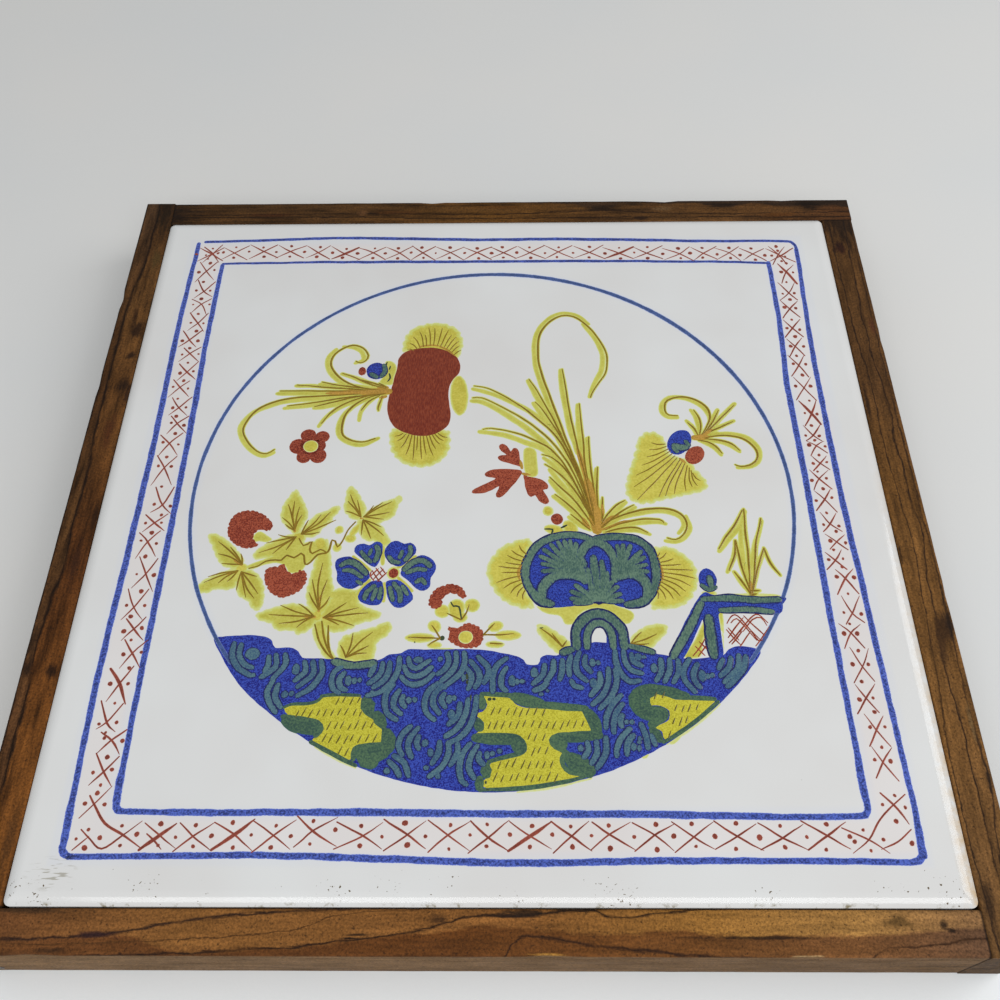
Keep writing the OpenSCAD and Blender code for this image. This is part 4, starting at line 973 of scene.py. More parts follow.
# Green banks: (width, places along it)
BANKS = [
    (5.4, [(-59,-79.8),(-56,-81.4),(-51.2,-82.6)]), (5.4, [(-36.2,-74.2),(-35.4,-76.6)]),
    (5, [(-32.8,-78.6),(-31.4,-80.8)]), (5.6, [(-29.6,-84.2),(-28.9,-87),(-30.4,-89.2)]),
    (7.6, [(-36,-90.4),(-34,-91.8)]), (5.4, [(-33,-90.2),(-30.6,-89.8)]),
    (1.7, [(-51.4,-86.4),(-45,-89.8),(-38,-93.2)]),
    (1.3, [(-60.6,-75.9),(-58.4,-74.9),(-54,-74.7),(-51,-74),(-49.6,-72.6)]),
    (4.8, [(7.6,-72.8),(11,-73.8),(14.6,-74.6)]), (3, [(13,-75),(20,-75.6),(28,-76.3)]),
    (2, [(-2.4,-71.8),(2,-71.9),(7,-72.2)]), (4.8, [(29,-78),(30.4,-80.6),(31,-83)]),
    (4, [(31.4,-84.3),(25,-84.8),(20,-85.4)]), (5.4, [(19.8,-86.2),(20.8,-87)]),
    (7.2, [(23.8,-91.8),(25.6,-93.2),(28,-94.4)]), (3.4, [(-2.6,-73),(-2.2,-75.4)]),
    (2.2, [(20.4,-88.4),(22.4,-89.8)]), (4.4, [(-3.4,-80.6),(-2.9,-81.8)]),
    (4.2, [(-3.8,-85.1),(1,-85.4),(6,-85.9)]), (5.4, [(7.8,-86.8),(8.4,-88)]),
    (4.2, [(-0.8,-93.8),(-0.6,-95.6)]), (3.4, [(-2.6,-97.4),(-2.6,-99.4)]),
    (1.8, [(0,-92.2),(4,-91),(8,-89.8)]), (1.6, [(-2.5,-100.3),(8,-99.8),(18,-98.5),(27,-96.5)]),
    (6.4, [(48,-70.6),(44,-72),(43.2,-74.6),(45.4,-77.2),(49.6,-78.4)]),
    (4.2, [(48,-70),(53.6,-71.4),(57.6,-72.4)]), (2, [(58,-72.9),(66,-73.4)]),
    (4.2, [(48.2,-80.2),(47.4,-81)]),
    (2.4, [(-60.4,-78.6),(-55,-79.5),(-50.3,-80.6),(-49,-82.4),(-50.2,-84.4)]),
    (1.4, [(-49.8,-72.3),(-45,-71.9),(-38.5,-72.1)]),
    (2.2, [(-38.8,-91.4),(-38.4,-88.4),(-35,-87.6),(-31.2,-87)]), (2, [(-36.4,-77.2),(-33,-79.4)]),
    (3, [(-36.4,-89.2),(-32,-88.8)]), (2, [(-32,-79.8),(-30.2,-83.4),(-30.3,-86.4)]),
    (1.8, [(28,-84.2),(20,-84.3),(17.8,-85.9),(19,-87.8),(21.4,-89.2),(20.8,-91.2),(21,-93.2),(23,-95.2),
     (27,-96)]), (1.8, [(-3.4,-84.2),(4.8,-84.3),(8.6,-85.2),(10.1,-87.2),(9.5,-89.4),(5.8,-90.6)]),
    (1.8, [(27.6,-77.4),(28.8,-79.4),(31,-82.4)]),
    (2, [(45.6,-71),(46.3,-73),(46.8,-76),(50,-76.4),(51.4,-77.4),(51.2,-79),(48.8,-80.6)]),
    (3.8, [(47.4,-83),(49,-85.4)]), (1.6, [(50,-86.5),(58,-81.4),(67,-74.2)])
]
# Teal strokes in the ground, whorl by whorl
WHORL_STROKES = [
    [(-75.8,-56),(-76,-59.4),(-74,-62.2),(-71.6,-63.2)],
    [(-78,-55.5),(-78.1,-59.6),(-75.6,-63.4),(-71.8,-65.8)], [(-64.7,-59.3),(-64.4,-63),(-68.3,-66.3)],
    [(-62,-59.1),(-61.6,-62.4),(-64.8,-66.8)], [(-66.9,-59.8),(-66.8,-62.4),(-67.6,-64.4)],
    [(-55.8,-61.5),(-55.3,-64.5),(-58,-67.4)], [(-53.3,-61.5),(-52.9,-65.4),(-57,-69.4)],
    [(-50.8,-61.3),(-50.3,-65),(-52.8,-69.4),(-56.8,-72.2)], [(-63.1,-69),(-63.5,-72.6),(-61.5,-75.8)],
    [(-64.6,-67.4),(-65.9,-71),(-65,-74.4),(-62.8,-77.2)],
    [(-44.6,-63),(-46.6,-64.6),(-47.2,-67.4),(-46.6,-70),(-44.8,-71.2)],
    [(-43.6,-65.2),(-44.9,-67.2),(-44.4,-69.6),(-42.9,-70.4)], [(-34.6,-62.8),(-35.8,-65.6)],
    [(-32.3,-62),(-32.6,-64.6),(-34.2,-67),(-36,-68.4)],
    [(-30.2,-61.8),(-30.4,-65),(-32,-67.8),(-34.4,-69.6)],
    [(-27.4,-60.3),(-27.5,-64),(-29.2,-68),(-32.4,-71),(-36,-72.2)],
    [(-24.6,-60.4),(-24,-62.6),(-22,-63.6),(-20.2,-62.4),(-18.4,-61.2)],
    [(-25.8,-63),(-24.6,-65.4),(-22,-66.2),(-19.6,-65.2),(-17.8,-63.4)],
    [(-26.4,-66.4),(-24.4,-68.4),(-21.6,-68.8),(-19,-67.6),(-17,-65.4)],
    [(-13,-58.8),(-12.4,-61.2),(-13.4,-63.6),(-15.4,-65.4)],
    [(-10.4,-58.6),(-10.2,-61.6),(-11.4,-64.6),(-14.2,-67.4)],
    [(-7.8,-58.8),(-7.6,-61.6),(-9,-65.4),(-12.8,-68.8)],
    [(-28.8,-69),(-30.6,-71.6),(-30.8,-75),(-29.8,-78),(-27.4,-79.6)],
    [(-26.9,-70.8),(-28.2,-73),(-28.2,-75.6),(-26,-77.8)], [(-25.5,-72.6),(-25.8,-74.2),(-24.9,-75.6)],
    [(-15.4,-68.4),(-18,-70.6),(-19.2,-74.2),(-18.4,-77.6),(-16.2,-79.6)], [(-15.2,-68.4),(-13.4,-69.6)],
    [(-14.6,-69.8),(-16.4,-71.8),(-16.6,-74.8),(-14.8,-77.6)], [(-13.6,-71.8),(-14.2,-73.6),(-13.1,-75.6)],
    [(-8.8,-75),(-9.2,-78.2),(-11.7,-81)], [(-6.4,-73.6),(-6.9,-77.6),(-9,-81.8),(-12.4,-84.6)],
    [(-3.9,-72.8),(-4.3,-77),(-5.8,-81.6),(-8.6,-85),(-11.6,-86.6)],
    [(-22.9,-81.9),(-25.2,-84.4),(-26.2,-87.4),(-25,-90)],
    [(-20.7,-82.3),(-22.9,-85.4),(-23.3,-88.2),(-22.3,-90.6)], [(-20.4,-84.8),(-20.9,-86.6),(-20.3,-88.2)],
    [(-28.4,-92.2),(-26.4,-94.2),(-25.4,-96)], [(-27,-90.5),(-24.2,-92.6),(-22.8,-96)],
    [(-14.3,-86.5),(-14.5,-89.4),(-16.2,-92.6)], [(-11.7,-86.8),(-11.7,-90),(-13.4,-93.6),(-16.8,-96.3)],
    [(-9.1,-86.8),(-9,-89.6),(-11,-93)], [(-5.6,-87),(-7.8,-90.2),(-8.4,-94),(-7.8,-97.4),(-6.6,-98.6)],
    [(-3.4,-87.6),(-5.2,-90.6),(-5.8,-94),(-4.4,-96.7)], [(-2.8,-89.8),(-3,-91.4),(-1.8,-92.7)],
    [(-7,-63.6),(-5.6,-65.6),(-5.6,-68),(-6.4,-70)], [(-5.8,-61.4),(-3.4,-64.6),(-3.1,-67.4),(-4.2,-69.6)],
    [(-3.4,-59.9),(-0.8,-63),(-0.5,-65.6),(-1.6,-68)], [(4.8,-60.4),(2,-62.8),(0.8,-66.4),(0.9,-70.8)],
    [(4.9,-63.6),(3.5,-66),(3.3,-69),(4.6,-70.6)], [(16.3,-62.8),(15.8,-65.6),(13,-68.4)],
    [(19.1,-61.4),(18.7,-64.6),(16.8,-67.8)], [(21.7,-61.2),(21.5,-64.4),(20.7,-67)],
    [(13.4,-70.6),(15.4,-69.8),(16.8,-68.6)], [(24.2,-59.8),(23.6,-62.6),(23.6,-65.6)],
    [(26.8,-58.6),(25.8,-61.6),(26.1,-65),(28.6,-67.6)], [(28.7,-59.8),(28.4,-62.4),(30,-64.6)],
    [(24.2,-67.8),(25,-69.2),(26.9,-69.8)], [(32.8,-65.2),(32.6,-68.6),(30,-72)],
    [(35.3,-64),(35.1,-68.4),(33.2,-72.2),(30.3,-74.9)], [(37.4,-64.2),(37.6,-68),(36,-72.2),(32.4,-76.2)],
    [(37.6,-58.2),(37.7,-61.6),(39.2,-65.4),(41.6,-67.9),(44.3,-67.6)],
    [(40.2,-58.2),(40.5,-61.2),(42.2,-64.2),(45,-65.2)], [(42.6,-59.2),(43,-61.4),(45.2,-62.7)],
    [(51.2,-61),(51.1,-64.6),(49.4,-67.4)], [(53.8,-60.8),(53.6,-64.4),(51.9,-67.8)],
    [(56.4,-61.2),(56.2,-64.8),(54.5,-68)], [(59.6,-61),(57.8,-64.2),(57.9,-67.6),(60.4,-71)],
    [(61.9,-62.4),(60.6,-65),(60.6,-67.4),(62,-69.6)], [(69.6,-61),(68.3,-63.6)],
    [(72.1,-60.4),(71.3,-63.4),(68.7,-66)], [(74.7,-59.6),(73.9,-63.6),(69.6,-68)],
    [(76.6,-60),(75.6,-63.6),(73,-66.9),(70.4,-69.2)], [(38.6,-72.2),(35.8,-75.2),(34.1,-79),(33.8,-82)],
    [(38.8,-75),(36.8,-77.8),(36,-81),(36,-83.4)], [(38.6,-78.4),(37.9,-80.2),(38.3,-81.6)],
    [(40.4,-82.6),(37.7,-85.6),(36.4,-89),(36.4,-90.2)], [(41.4,-84.6),(39.8,-86.6),(39.4,-89.8)],
    [(44,-81.2),(45.1,-84.6),(45.5,-88)], [(46.8,-84.6),(47.6,-87)],
    [(28.2,-86.6),(28.5,-88.8),(27.2,-90.6)], [(30.8,-86.4),(30.9,-89.6),(29.2,-92.4)],
    [(33.5,-85.4),(33.5,-89),(32.2,-91.8),(30.8,-93.8)]
]
# Teal spots in the ground: (x, y, half width, half height)
PEBBLES = [
    (-72, -58.8, 2.2, 1.9), (-71, -65.7, 0.8, 0.7), (-58.2, -63.8, 1.1, 1.8), (-60.7, -71.8, 1, 1.2),
    (-58.7, -71.6, 0.8, 0.9), (-42.2, -67.5, 1.1, 1.7), (-40.4, -67.5, 0.8, 1.1), (-38.9, -67.3, 0.7, 0.8),
    (-34.8, -71, 0.7, 0.5), (-21.6, -60.8, 1.6, 1), (-15, -60.6, 0.8, 0.9), (-23.8, -73.7, 0.9, 1.1),
    (-22.1, -73.5, 0.8, 0.9), (-12, -73.4, 1, 1.4), (-10.5, -73, 0.7, 0.9), (-11.1, -78.1, 1.1, 1.6),
    (-18.5, -86.7, 1.1, 1.1), (-29, -94.8, 1, 1), (-16.8, -89.5, 0.9, 1.3), (-17.8, -94, 0.8, 0.8),
    (-14.4, -96.3, 0.8, 0.8), (-0.6, -90.3, 0.8, 1.3), (0.9, -89.8, 0.8, 0.9), (2.9, -89.1, 0.8, 0.8),
    (-7.9, -66.6, 0.8, 1.3), (6.6, -67.7, 1.1, 1.9), (8.1, -67.9, 0.7, 1), (9.6, -67.8, 0.8, 0.8),
    (13.2, -65, 1.1, 1.7), (17, -70.7, 0.6, 0.5), (15.1, -71.8, 0.7, 0.6), (30.7, -61.8, 0.9, 1.4),
    (32.3, -61.8, 0.7, 0.8), (30.7, -68.4, 1.1, 1.7), (44.5, -60, 1.1, 1.3), (46.2, -60, 0.7, 0.7),
    (49, -63.6, 1, 1.6), (63.1, -66, 1.1, 2), (64.7, -66.2, 0.7, 1), (66, -65.9, 0.8, 0.8),
    (39.8, -80.4, 0.7, 0.8), (41.3, -80.4, 0.7, 0.8), (41.3, -87.8, 0.9, 1.3), (42.9, -88.2, 0.6, 1.1),
    (43, -86.4, 0.6, 0.6), (43.3, -85.4, 0.6, 0.7), (26.2, -88.2, 0.9, 1.1)
]

BLOOM = [
    (9.3,-31),(9.8,-27),(11.8,-23.5),(14,-19.9),(17.8,-17.6),(23.6,-16.1),(28.4,-16.2),(32.2,-17.9),
    (36,-16.9),(43,-17),(48,-18.5),(51.4,-22),(53.3,-28),(53.2,-32),(51.5,-38),(48.8,-41.8),(44,-43.4),
    (40,-43.3),(37,-42),(33,-41.5),(28,-42.2),(24.6,-43.2),(17.4,-43.2),(12.5,-40),(10.3,-36)
]
# Teal strokes in the bloom: (width, places along it)
BLOOM_STROKES = [
    (2.3, [(13.4,-39),(11.2,-34.5),(10.9,-29.5),(12.6,-24.8),(15.4,-20.8),(19.4,-18.5),(24,-17.5),
     (28.2,-17.6),(32,-19.2)]),
    (2.3, [(33.6,-19),(38,-18.2),(43.6,-18.4),(47.8,-19.9),(50.8,-23.4),(52,-29),(51.7,-34.4),(49.6,-39.4),
     (46,-41.9)]), (2.6, [(12.8,-37.8),(15.2,-40.8),(18.6,-42.1)]),
    (2.4, [(50,-38.8),(46.6,-41.6),(42.4,-42.4)]),
    (3, [(28.6,-33),(24,-31.8),(19.4,-32.8),(16.4,-36),(15.8,-40)]),
    (3, [(39.6,-32.6),(43.6,-31.6),(47.4,-33),(49,-36.4),(48.6,-39.4)]),
    (2.6, [(29.4,-34),(28.1,-28),(29.4,-22.6),(33,-20),(37.2,-22.2),(39.3,-27),(38.9,-33.4)]),
    (5.8, [(23.8,-28.6),(27.4,-28.2)]), (4.6, [(23.6,-31),(28,-31)]), (5.2, [(40.6,-27.6),(43.4,-29.6)]),
    (3.8, [(40,-31.4),(44.4,-31)]), (2.3, [(32.5,-25.8),(32.8,-31),(33.4,-38)]),
    (1.8, [(35.1,-27.4),(35.3,-32),(34.8,-38)]), (1.6, [(30.6,-30.2),(31,-34),(31.8,-39)]),
    (1.5, [(36.6,-31.4),(36.4,-35),(35.6,-39)]), (5, [(32.4,-38.9),(34.6,-38.9)]),
    (2.6, [(29.6,-40.4),(33.4,-40),(37.2,-40.6)])
]
# Palmettes in the bloom: middle they spring from, where each stroke starts as a share of its length, tips
PALMETTES = [
    ((26,-30), 0.3, [(16.6,-30.6),(16.4,-28),(15.9,-25.4),(17.1,-23),(19.3,-21.2),(21.6,-20.3),(23.6,-19.9),
     (25.4,-19.7),(27.2,-20.9)]),
    ((41.6,-30), 0.3, [(40.4,-21.6),(42.2,-21.4),(44.4,-21.6),(47.8,-23.6),(48.4,-25.8),(49,-28.4),
     (49.2,-30.8)]),
    ((33.4,-41.6), 0.3, [(26.4,-41.9),(25.3,-40.4),(25.3,-37.9),(26.7,-35.8),(38.2,-34.4),(39.4,-36.4),
     (40.1,-38.8),(40.5,-41.2)])
]

BEAN = [
    (-34.7,52.5),(-34.3,57),(-32,60.3),(-27.5,61.8),(-22,62.2),(-17.5,61),(-13.5,58),(-11.8,53.5),
    (-12.3,50),(-14.7,46),(-15.7,41.5),(-15.2,36),(-14.6,30),(-16,26),(-20,23),(-25,22.2),(-30.5,23.8),
    (-34.5,26.8),(-36.7,32),(-37,38),(-36,44)
]
TULIP = [
    [(10.2,9.2),(8,10),(5,11),(2.5,12),(1.8,13.3),(3,14.3),(4.7,14.3),(2.9,16),(2.2,18),(3.3,19),(5,18),
     (6.3,15.8),(7,17),(8.3,17.1),(9.1,15.5),(9.4,12)],
    [(10.2,7.2),(8.5,8.3),(4,8.6),(0,8.3),(-2.5,6.8),(-2,5.5),(1,4.7),(-0.5,3.6),(-3.5,2),(-6.6,0),
     (-6.2,-1.3),(-3,-1.2),(0,0),(2.4,1.5),(1.3,-1.5),(1.8,-2.9),(3.5,-2.5),(6,0.5),(8.5,4)],
    [(10.4,6.3),(12,5.6),(14.5,5),(17,4),(18.8,1.8),(18.3,0.3),(17,0),(18.2,-2.2),(19,-4.5),(17.8,-5.7),
     (15.5,-4.2),(14.3,-2.1),(13,-2.8),(11.7,-1.5),(11,1.5),(10.7,4)]
]
CARNATIONS = [
    [(-86,-13),(-85.3,-10.3),(-83.2,-8.2),(-79.5,-7.5),(-75.5,-8.7),(-72.5,-11.3),(-71.2,-13.8),
     (-72.6,-15.6),(-75.5,-15.2),(-77,-17),(-76.2,-19.5),(-74.9,-20.8),(-76.7,-21.8),(-80,-22),(-83.6,-20),
     (-85.8,-17)],
    [(-71.9,-30.5),(-70.3,-28.8),(-68,-28.5),(-66,-27.6),(-64.8,-29.8),(-62.7,-31),(-60.5,-29.7),
     (-58.5,-31),(-58.1,-34),(-59.5,-37),(-62,-38.9),(-65.5,-40),(-68.8,-38.4),(-71.2,-35)],
    [(-13.2,-49.8),(-10,-50.2),(-7.5,-48.5),(-4,-49.5),(-2.2,-51.5),(-2,-54),(-3.5,-56.5),(-7,-57.2),
     (-10.5,-56.2),(-13,-54.3),(-12.6,-52)],
    [(-19.3,-42.8),(-19.3,-40),(-17.8,-37.2),(-15,-35.5),(-11.8,-35),(-8.8,-36.6),(-7.5,-39.4),(-9,-40.3),
     (-10.8,-39),(-13,-38.6),(-14.8,-40.2),(-15,-42.6),(-17,-44)]
]
STAR_PETALS = [
    (-63.5, 22.8, 2.8, 2.7), (-58.6, 22.2, 2.6, 2.5), (-59.3, 14.2, 3, 3.1), (-64.2, 13.9, 2.6, 2.8),
    (-66.6, 18.2, 3.1, 3.2), (-62.3, 18.3, 4, 4), (-60, 18.4, 3, 3)
]
RED_SPOTS = [
    (-47.1, 51.2, 1.4, 2.1, 0), (21.3, -11.3, 2.1, 2.2, 0), (68.6, 13.9, 3, 4.2, -35),
    (-30.9, -31.2, 1.6, 1.9, 0)
]
NETS = [
    [(72.3,-48.9),(73.6,-46.8),(75,-46),(76.6,-47.2),(79,-50.8),(81.6,-54.2)],
    [(73.6,-48.7),(75.4,-47.3),(78,-50.4),(80.8,-54.6)],
    [(76,-51.8),(78.6,-48.4),(80.6,-46.4),(82.4,-46),(84.8,-48.8)],
    [(77,-51.6),(80.3,-47.6),(83,-47),(84.4,-49.6)], [(72,-51),(74,-54),(75.8,-56.2)],
    [(72.6,-50.4),(75.3,-54.5)], [(72.3,-55.4),(75,-52.6),(78.8,-48.2)],
    [(80.2,-56.4),(82.4,-53.6),(85,-50)], [(79.2,-51),(81.2,-54.6),(83,-54)], [(73,-55.8),(76.8,-51.6)],
    [(72.2,-53.6),(74.6,-50.6),(77.6,-47)], [(77.8,-46.4),(80.6,-49.8),(83.6,-53.4)],
    [(75.4,-56.6),(79.6,-51.4)], [(61,-59.6),(63.5,-56.6),(65.3,-53.8)], [(62.6,-59.8),(65.6,-56)],
    [(62,-56.6),(64.6,-59.6)], [(63.3,-55),(65.9,-58)], [(-37.8,-30.2),(-36.4,-32.4),(-35,-34.4)],
    [(-36.6,-29.4),(-34.2,-32.6)], [(-35.2,-29),(-33.2,-31.6)], [(-38,-32.2),(-35.8,-29.6)],
    [(-37.2,-33.6),(-34.2,-29.8)], [(-36,-34.4),(-33,-31)], [(-38,-30.6),(-38.2,-32.2),(-36.8,-34)]
]

BLUE_PETALS = [
    [(-38,-28.8),(-42,-25.5),(-44,-23.3),(-43.5,-21),(-41,-20.3),(-39.2,-20.9),(-37,-19.5),(-35,-20.5),
     (-34.7,-23.5),(-35.7,-27.3),(-37,-29)],
    [(-30.5,-28.7),(-33.5,-26.2),(-34.3,-23),(-32.5,-19.8),(-30,-19.3),(-28,-20.4),(-26,-20),(-24.2,-21.5),
     (-24.2,-24),(-26.5,-27),(-28.5,-28.7)],
    [(-28.8,-31.2),(-26.2,-27.2),(-23.5,-25),(-21.5,-24.7),(-19,-26),(-17.5,-28.5),(-17.8,-31),
     (-18.9,-32.8),(-19.2,-36),(-21,-37.5),(-23.5,-36.8),(-26,-34)],
    [(-38.3,-31.6),(-41,-27.6),(-44,-25.5),(-46.5,-25),(-49.3,-26),(-49.8,-28.5),(-48.8,-31.3),(-48.7,-34),
     (-46,-36.5),(-43.5,-36.8),(-40.5,-35),(-38.6,-33.6)],
    [(-34.7,-33.8),(-38,-34.2),(-40.5,-36.5),(-41.7,-39.5),(-40.5,-41.5),(-37.5,-42.5),(-34.7,-42.3),
     (-33.5,-40.5),(-33.5,-37)],
    [(-33,-34.2),(-29.5,-33.5),(-26.5,-35.5),(-24.8,-38),(-24.3,-40.5),(-26,-42.3),(-28,-43.5),(-30,-43),
     (-32,-40.5),(-33,-37)]
]
# Teal strokes outside the bloom: (width, places along it)
TEAL_STROKES = [
    (1.5, [(-38.6,-27),(-40.4,-25.2),(-41.6,-23.6)]), (1.6, [(-37,-26.6),(-36,-23.8),(-36.8,-21.6)]),
    (1.2, [(-39,-24.4),(-38.6,-22.8)]), (1.5, [(-32.6,-25.4),(-31.4,-27),(-29.6,-27.4)]),
    (1.5, [(-27.4,-26.4),(-25.8,-23.8),(-26,-21.8)]), (1.3, [(-29.2,-25.4),(-28.6,-23.4)]),
    (1.8, [(-27.4,-29.8),(-24.6,-27.2),(-21.6,-26.6),(-19.6,-28.4)]),
    (1.5, [(-26.4,-31),(-23.6,-29.8),(-21,-30)]), (1.6, [(-23.4,-34.2),(-21.8,-33.4),(-20.8,-34.8)]),
    (1.9, [(-39.8,-31),(-42.6,-28.2),(-45.4,-27),(-47.6,-28.2)]),
    (1.5, [(-41,-32.6),(-44.4,-30.2),(-46.6,-30.2)]), (1.4, [(-42,-34.2),(-41,-34.8)]),
    (1.6, [(-36.8,-35.8),(-38.8,-38),(-39.4,-40)]), (1.4, [(-36,-37),(-37,-40.4)]),
    (1.4, [(-34.6,-36.6),(-34.8,-40)]), (1.6, [(-30.4,-35),(-28.4,-38),(-28.2,-41)]),
    (1.4, [(-31.6,-36.4),(-30.6,-40.6)]), (1.3, [(-27.6,-36),(-26.2,-38.6)]),
    (2.6, [(26.2,-56.4),(26.3,-51),(29.2,-47.1),(33,-45.5),(37,-47),(40,-51),(40.6,-56.4)]),
    (2.1, [(29.3,-56.6),(29.4,-52.6),(31,-49.6),(33.1,-48.7),(35.4,-49.6),(37,-52.6),(37.3,-56.6)]),
    (2, [(66,-40.6),(74,-40.3),(82,-41),(89.2,-40.8)]), (1.8, [(71,-44.4),(79,-44.2),(86.6,-44.9)]),
    (2.4, [(65,-42.4),(60.4,-51),(55.2,-59.6)]), (2.6, [(67,-47.2),(67.1,-53),(67.3,-59.4)]),
    (2.4, [(62.3,17.8),(64,17),(65.8,17.2)]), (1.6, [(61.8,16.8),(62.6,15.6)]),
    (1.4, [(66,19.6),(66.8,18)]), (2, [(-43.6,49.6),(-42,48.6)]), (1.6, [(-39.4,53.6),(-38.9,51),(-40,49)]),
    (2.2, [(68.6,-33.4),(68.9,-35.4)]), (1.4, [(66.2,-35.8),(68,-37.2),(70,-36.4)]),
    (2.2, [(-46.8,-61.4),(-41,-62.7),(-35,-62)]), (2.4, [(22.2,-58.4),(24.5,-57.6)]),
    (1.7, [(42.5,-56.4),(46,-57.4),(49,-58.4)])
]
BLUE_SPOTS = [(-41.9, 51.3, 3.8, 3.9, 0), (63.8, 19.3, 3.9, 5.7, -30), (68, -33.8, 2.9, 4.2, 0)]
BLUE_AREAS = [
    [(24.5,-57.8),(24.6,-52),(27,-47),(31,-44.6),(35,-44.4),(39,-46.6),(41.8,-51),(42.2,-57),(38,-57.6),
     (35.3,-56.6),(35.2,-53),(34.6,-51),(33,-50.2),(31.4,-51),(30.6,-53),(30.4,-56.4),(28,-57.8)],
    [(64.8,-39.6),(70,-39.2),(80,-39.8),(91.2,-39.7),(90.4,-42.5),(88.8,-45.8),(80,-45.2),(72,-45.5),
     (70.3,-46),(70.2,-52),(70,-59.6),(66,-60.4),(65.6,-53),(65.3,-47.6),(63.4,-51),(58.2,-60.3),(53.8,-60)]
]


# Yellow-green washes: outlines with scalloped edges, and plain ones
FANS = [
    [(-32.6,60),(-33,65),(-31,70),(-27,73),(-22,74),(-17,73.3),(-13,70.5),(-11.3,66),(-11.4,61.4),
     (-13.4,57),(-20,60),(-28,60)],
    [(-35.3,24.6),(-35,18),(-33.3,14),(-29.5,10.6),(-24,9.3),(-19,10.6),(-15.8,14),(-14.5,18),(-14.8,24),
     (-18,25),(-25,23.6),(-32,25.6)],
    [(13,-19.2),(9,-19.1),(4,-21.3),(0.5,-25),(-1.4,-30),(-0.6,-34),(1,-37.5),(4,-41),(7.5,-43),(11.5,-44),
     (13.6,-42.5),(11,-36),(10.3,-31),(12,-24)],
    [(51.5,-22.8),(56,-21.8),(60,-23.5),(63.5,-27),(65,-31),(64.5,-36),(62.5,-40),(59,-43),(54,-44),
     (49.5,-43.6),(51,-38),(52.5,-30)],
    [(54,23.8),(51,22.5),(49,18),(47.5,12),(45.5,6),(44.4,1),(45,-3),(48,-5.2),(52,-5.5),(56,-4.2),(61,-3),
     (66,-1.8),(70,-0.5),(71.8,1.8),(70.5,5),(68,9),(66,12),(62,13.4),(59.4,15.5),(59,20),(56.8,23)]
]
LEAVES = [
    [(-65.5,0.4),(-63.8,-1.5),(-62,-5),(-60.4,-9),(-61.3,-13),(-63,-17),(-66,-14.7),(-68.9,-11),(-68.9,-6),
     (-67,-2)],
    [(-62.5,-17),(-59.7,-12),(-57,-9),(-54.5,-8),(-51,-5.9),(-49.9,-7.5),(-51.5,-9.7),(-52.5,-12),
     (-55,-14.6),(-56.6,-17.2),(-59.5,-18)],
    [(-61,-16.8),(-66,-17.1),(-70,-19),(-74,-21.5),(-76.1,-24),(-75.5,-26),(-72,-25.5),(-68,-26),
     (-64,-25.4),(-60.5,-21)],
    [(-79,-27.4),(-80.4,-24.4),(-84,-20.4),(-88,-17.4),(-91,-16.4),(-91.8,-18),(-89.8,-21.6),(-88,-25.2),
     (-85.5,-28.2),(-81.5,-29.6)],
    [(-79,-29.4),(-84,-30.2),(-88,-31.9),(-91.6,-34.4),(-92.6,-37),(-90,-38.1),(-86,-36.7),(-82,-36.8),
     (-79.5,-34)],
    [(-79.6,-29.2),(-76,-30.1),(-72.8,-33),(-71.3,-37),(-71.1,-41),(-71.9,-44),(-73.9,-43.6),(-76,-40.8),
     (-79,-38.9),(-80.4,-35),(-80.6,-31.5)],
    [(-42.5,-11),(-41.4,-7),(-43,-3.5),(-44.8,-0.5),(-46.7,1.6),(-48,0.5),(-48.4,-3.5),(-48.4,-7.7),
     (-45.5,-11)],
    [(-43,-10.9),(-39.2,-7),(-36,-4.6),(-33,-3.4),(-30.5,-2.1),(-29.7,-3.3),(-31,-6.2),(-32,-9.7),
     (-35,-11.8),(-39,-13.6)],
    [(-43.4,-10.8),(-39,-11.8),(-36,-13.6),(-34.2,-16.5),(-32.7,-20),(-34.8,-21.4),(-37.5,-19.7),
     (-41,-18.9),(-43.4,-15)],
    [(-53.4,-18.6),(-51.4,-25),(-50.4,-33),(-49.3,-38),(-50.4,-43.4),(-53,-46),(-56.2,-43.4),(-57.7,-39),
     (-57.2,-33),(-56.4,-27),(-56,-22)],
    [(-53.5,-46),(-57,-42.9),(-62,-41.9),(-67,-43.2),(-72.2,-45.4),(-71.6,-47.2),(-67.5,-48.7),
     (-65.6,-50.9),(-61,-51),(-58.5,-52.4),(-54.4,-49.6)],
    [(-53,-46.5),(-50.6,-41),(-49.6,-37.6),(-45.6,-36.4),(-41.4,-38),(-41,-41),(-40.2,-42.5),(-37,-43.9),
     (-33.8,-45.4),(-35.5,-47.3),(-40,-48.6),(-43,-50.4),(-47,-51.6),(-51,-50.6)],
    [(-44.8,-61),(-46.2,-57),(-45,-53.3),(-41,-51.6),(-36,-50),(-32,-48.3),(-30.3,-49.8),(-31.5,-52.6),
     (-34.5,-55),(-35,-59),(-36.5,-61.4)],
    [(14.1,-49.8),(16,-49.2),(19,-50.9),(21.5,-52.9),(23.6,-54.4),(24.2,-56),(22.6,-58),(20,-58.4),
     (17.4,-55.6),(14.9,-52.5)],
    [(41.8,-56.6),(43.4,-53),(46.5,-50.5),(51,-49.1),(53.9,-49.8),(53.6,-51.8),(51,-54.6),(48.5,-57),
     (45,-57)],
    [(-53.8,-47),(-51.2,-47.6),(-49.6,-52),(-48.6,-57),(-46.4,-60.4),(-49,-61),(-52,-57),(-54.4,-51.8)]
]
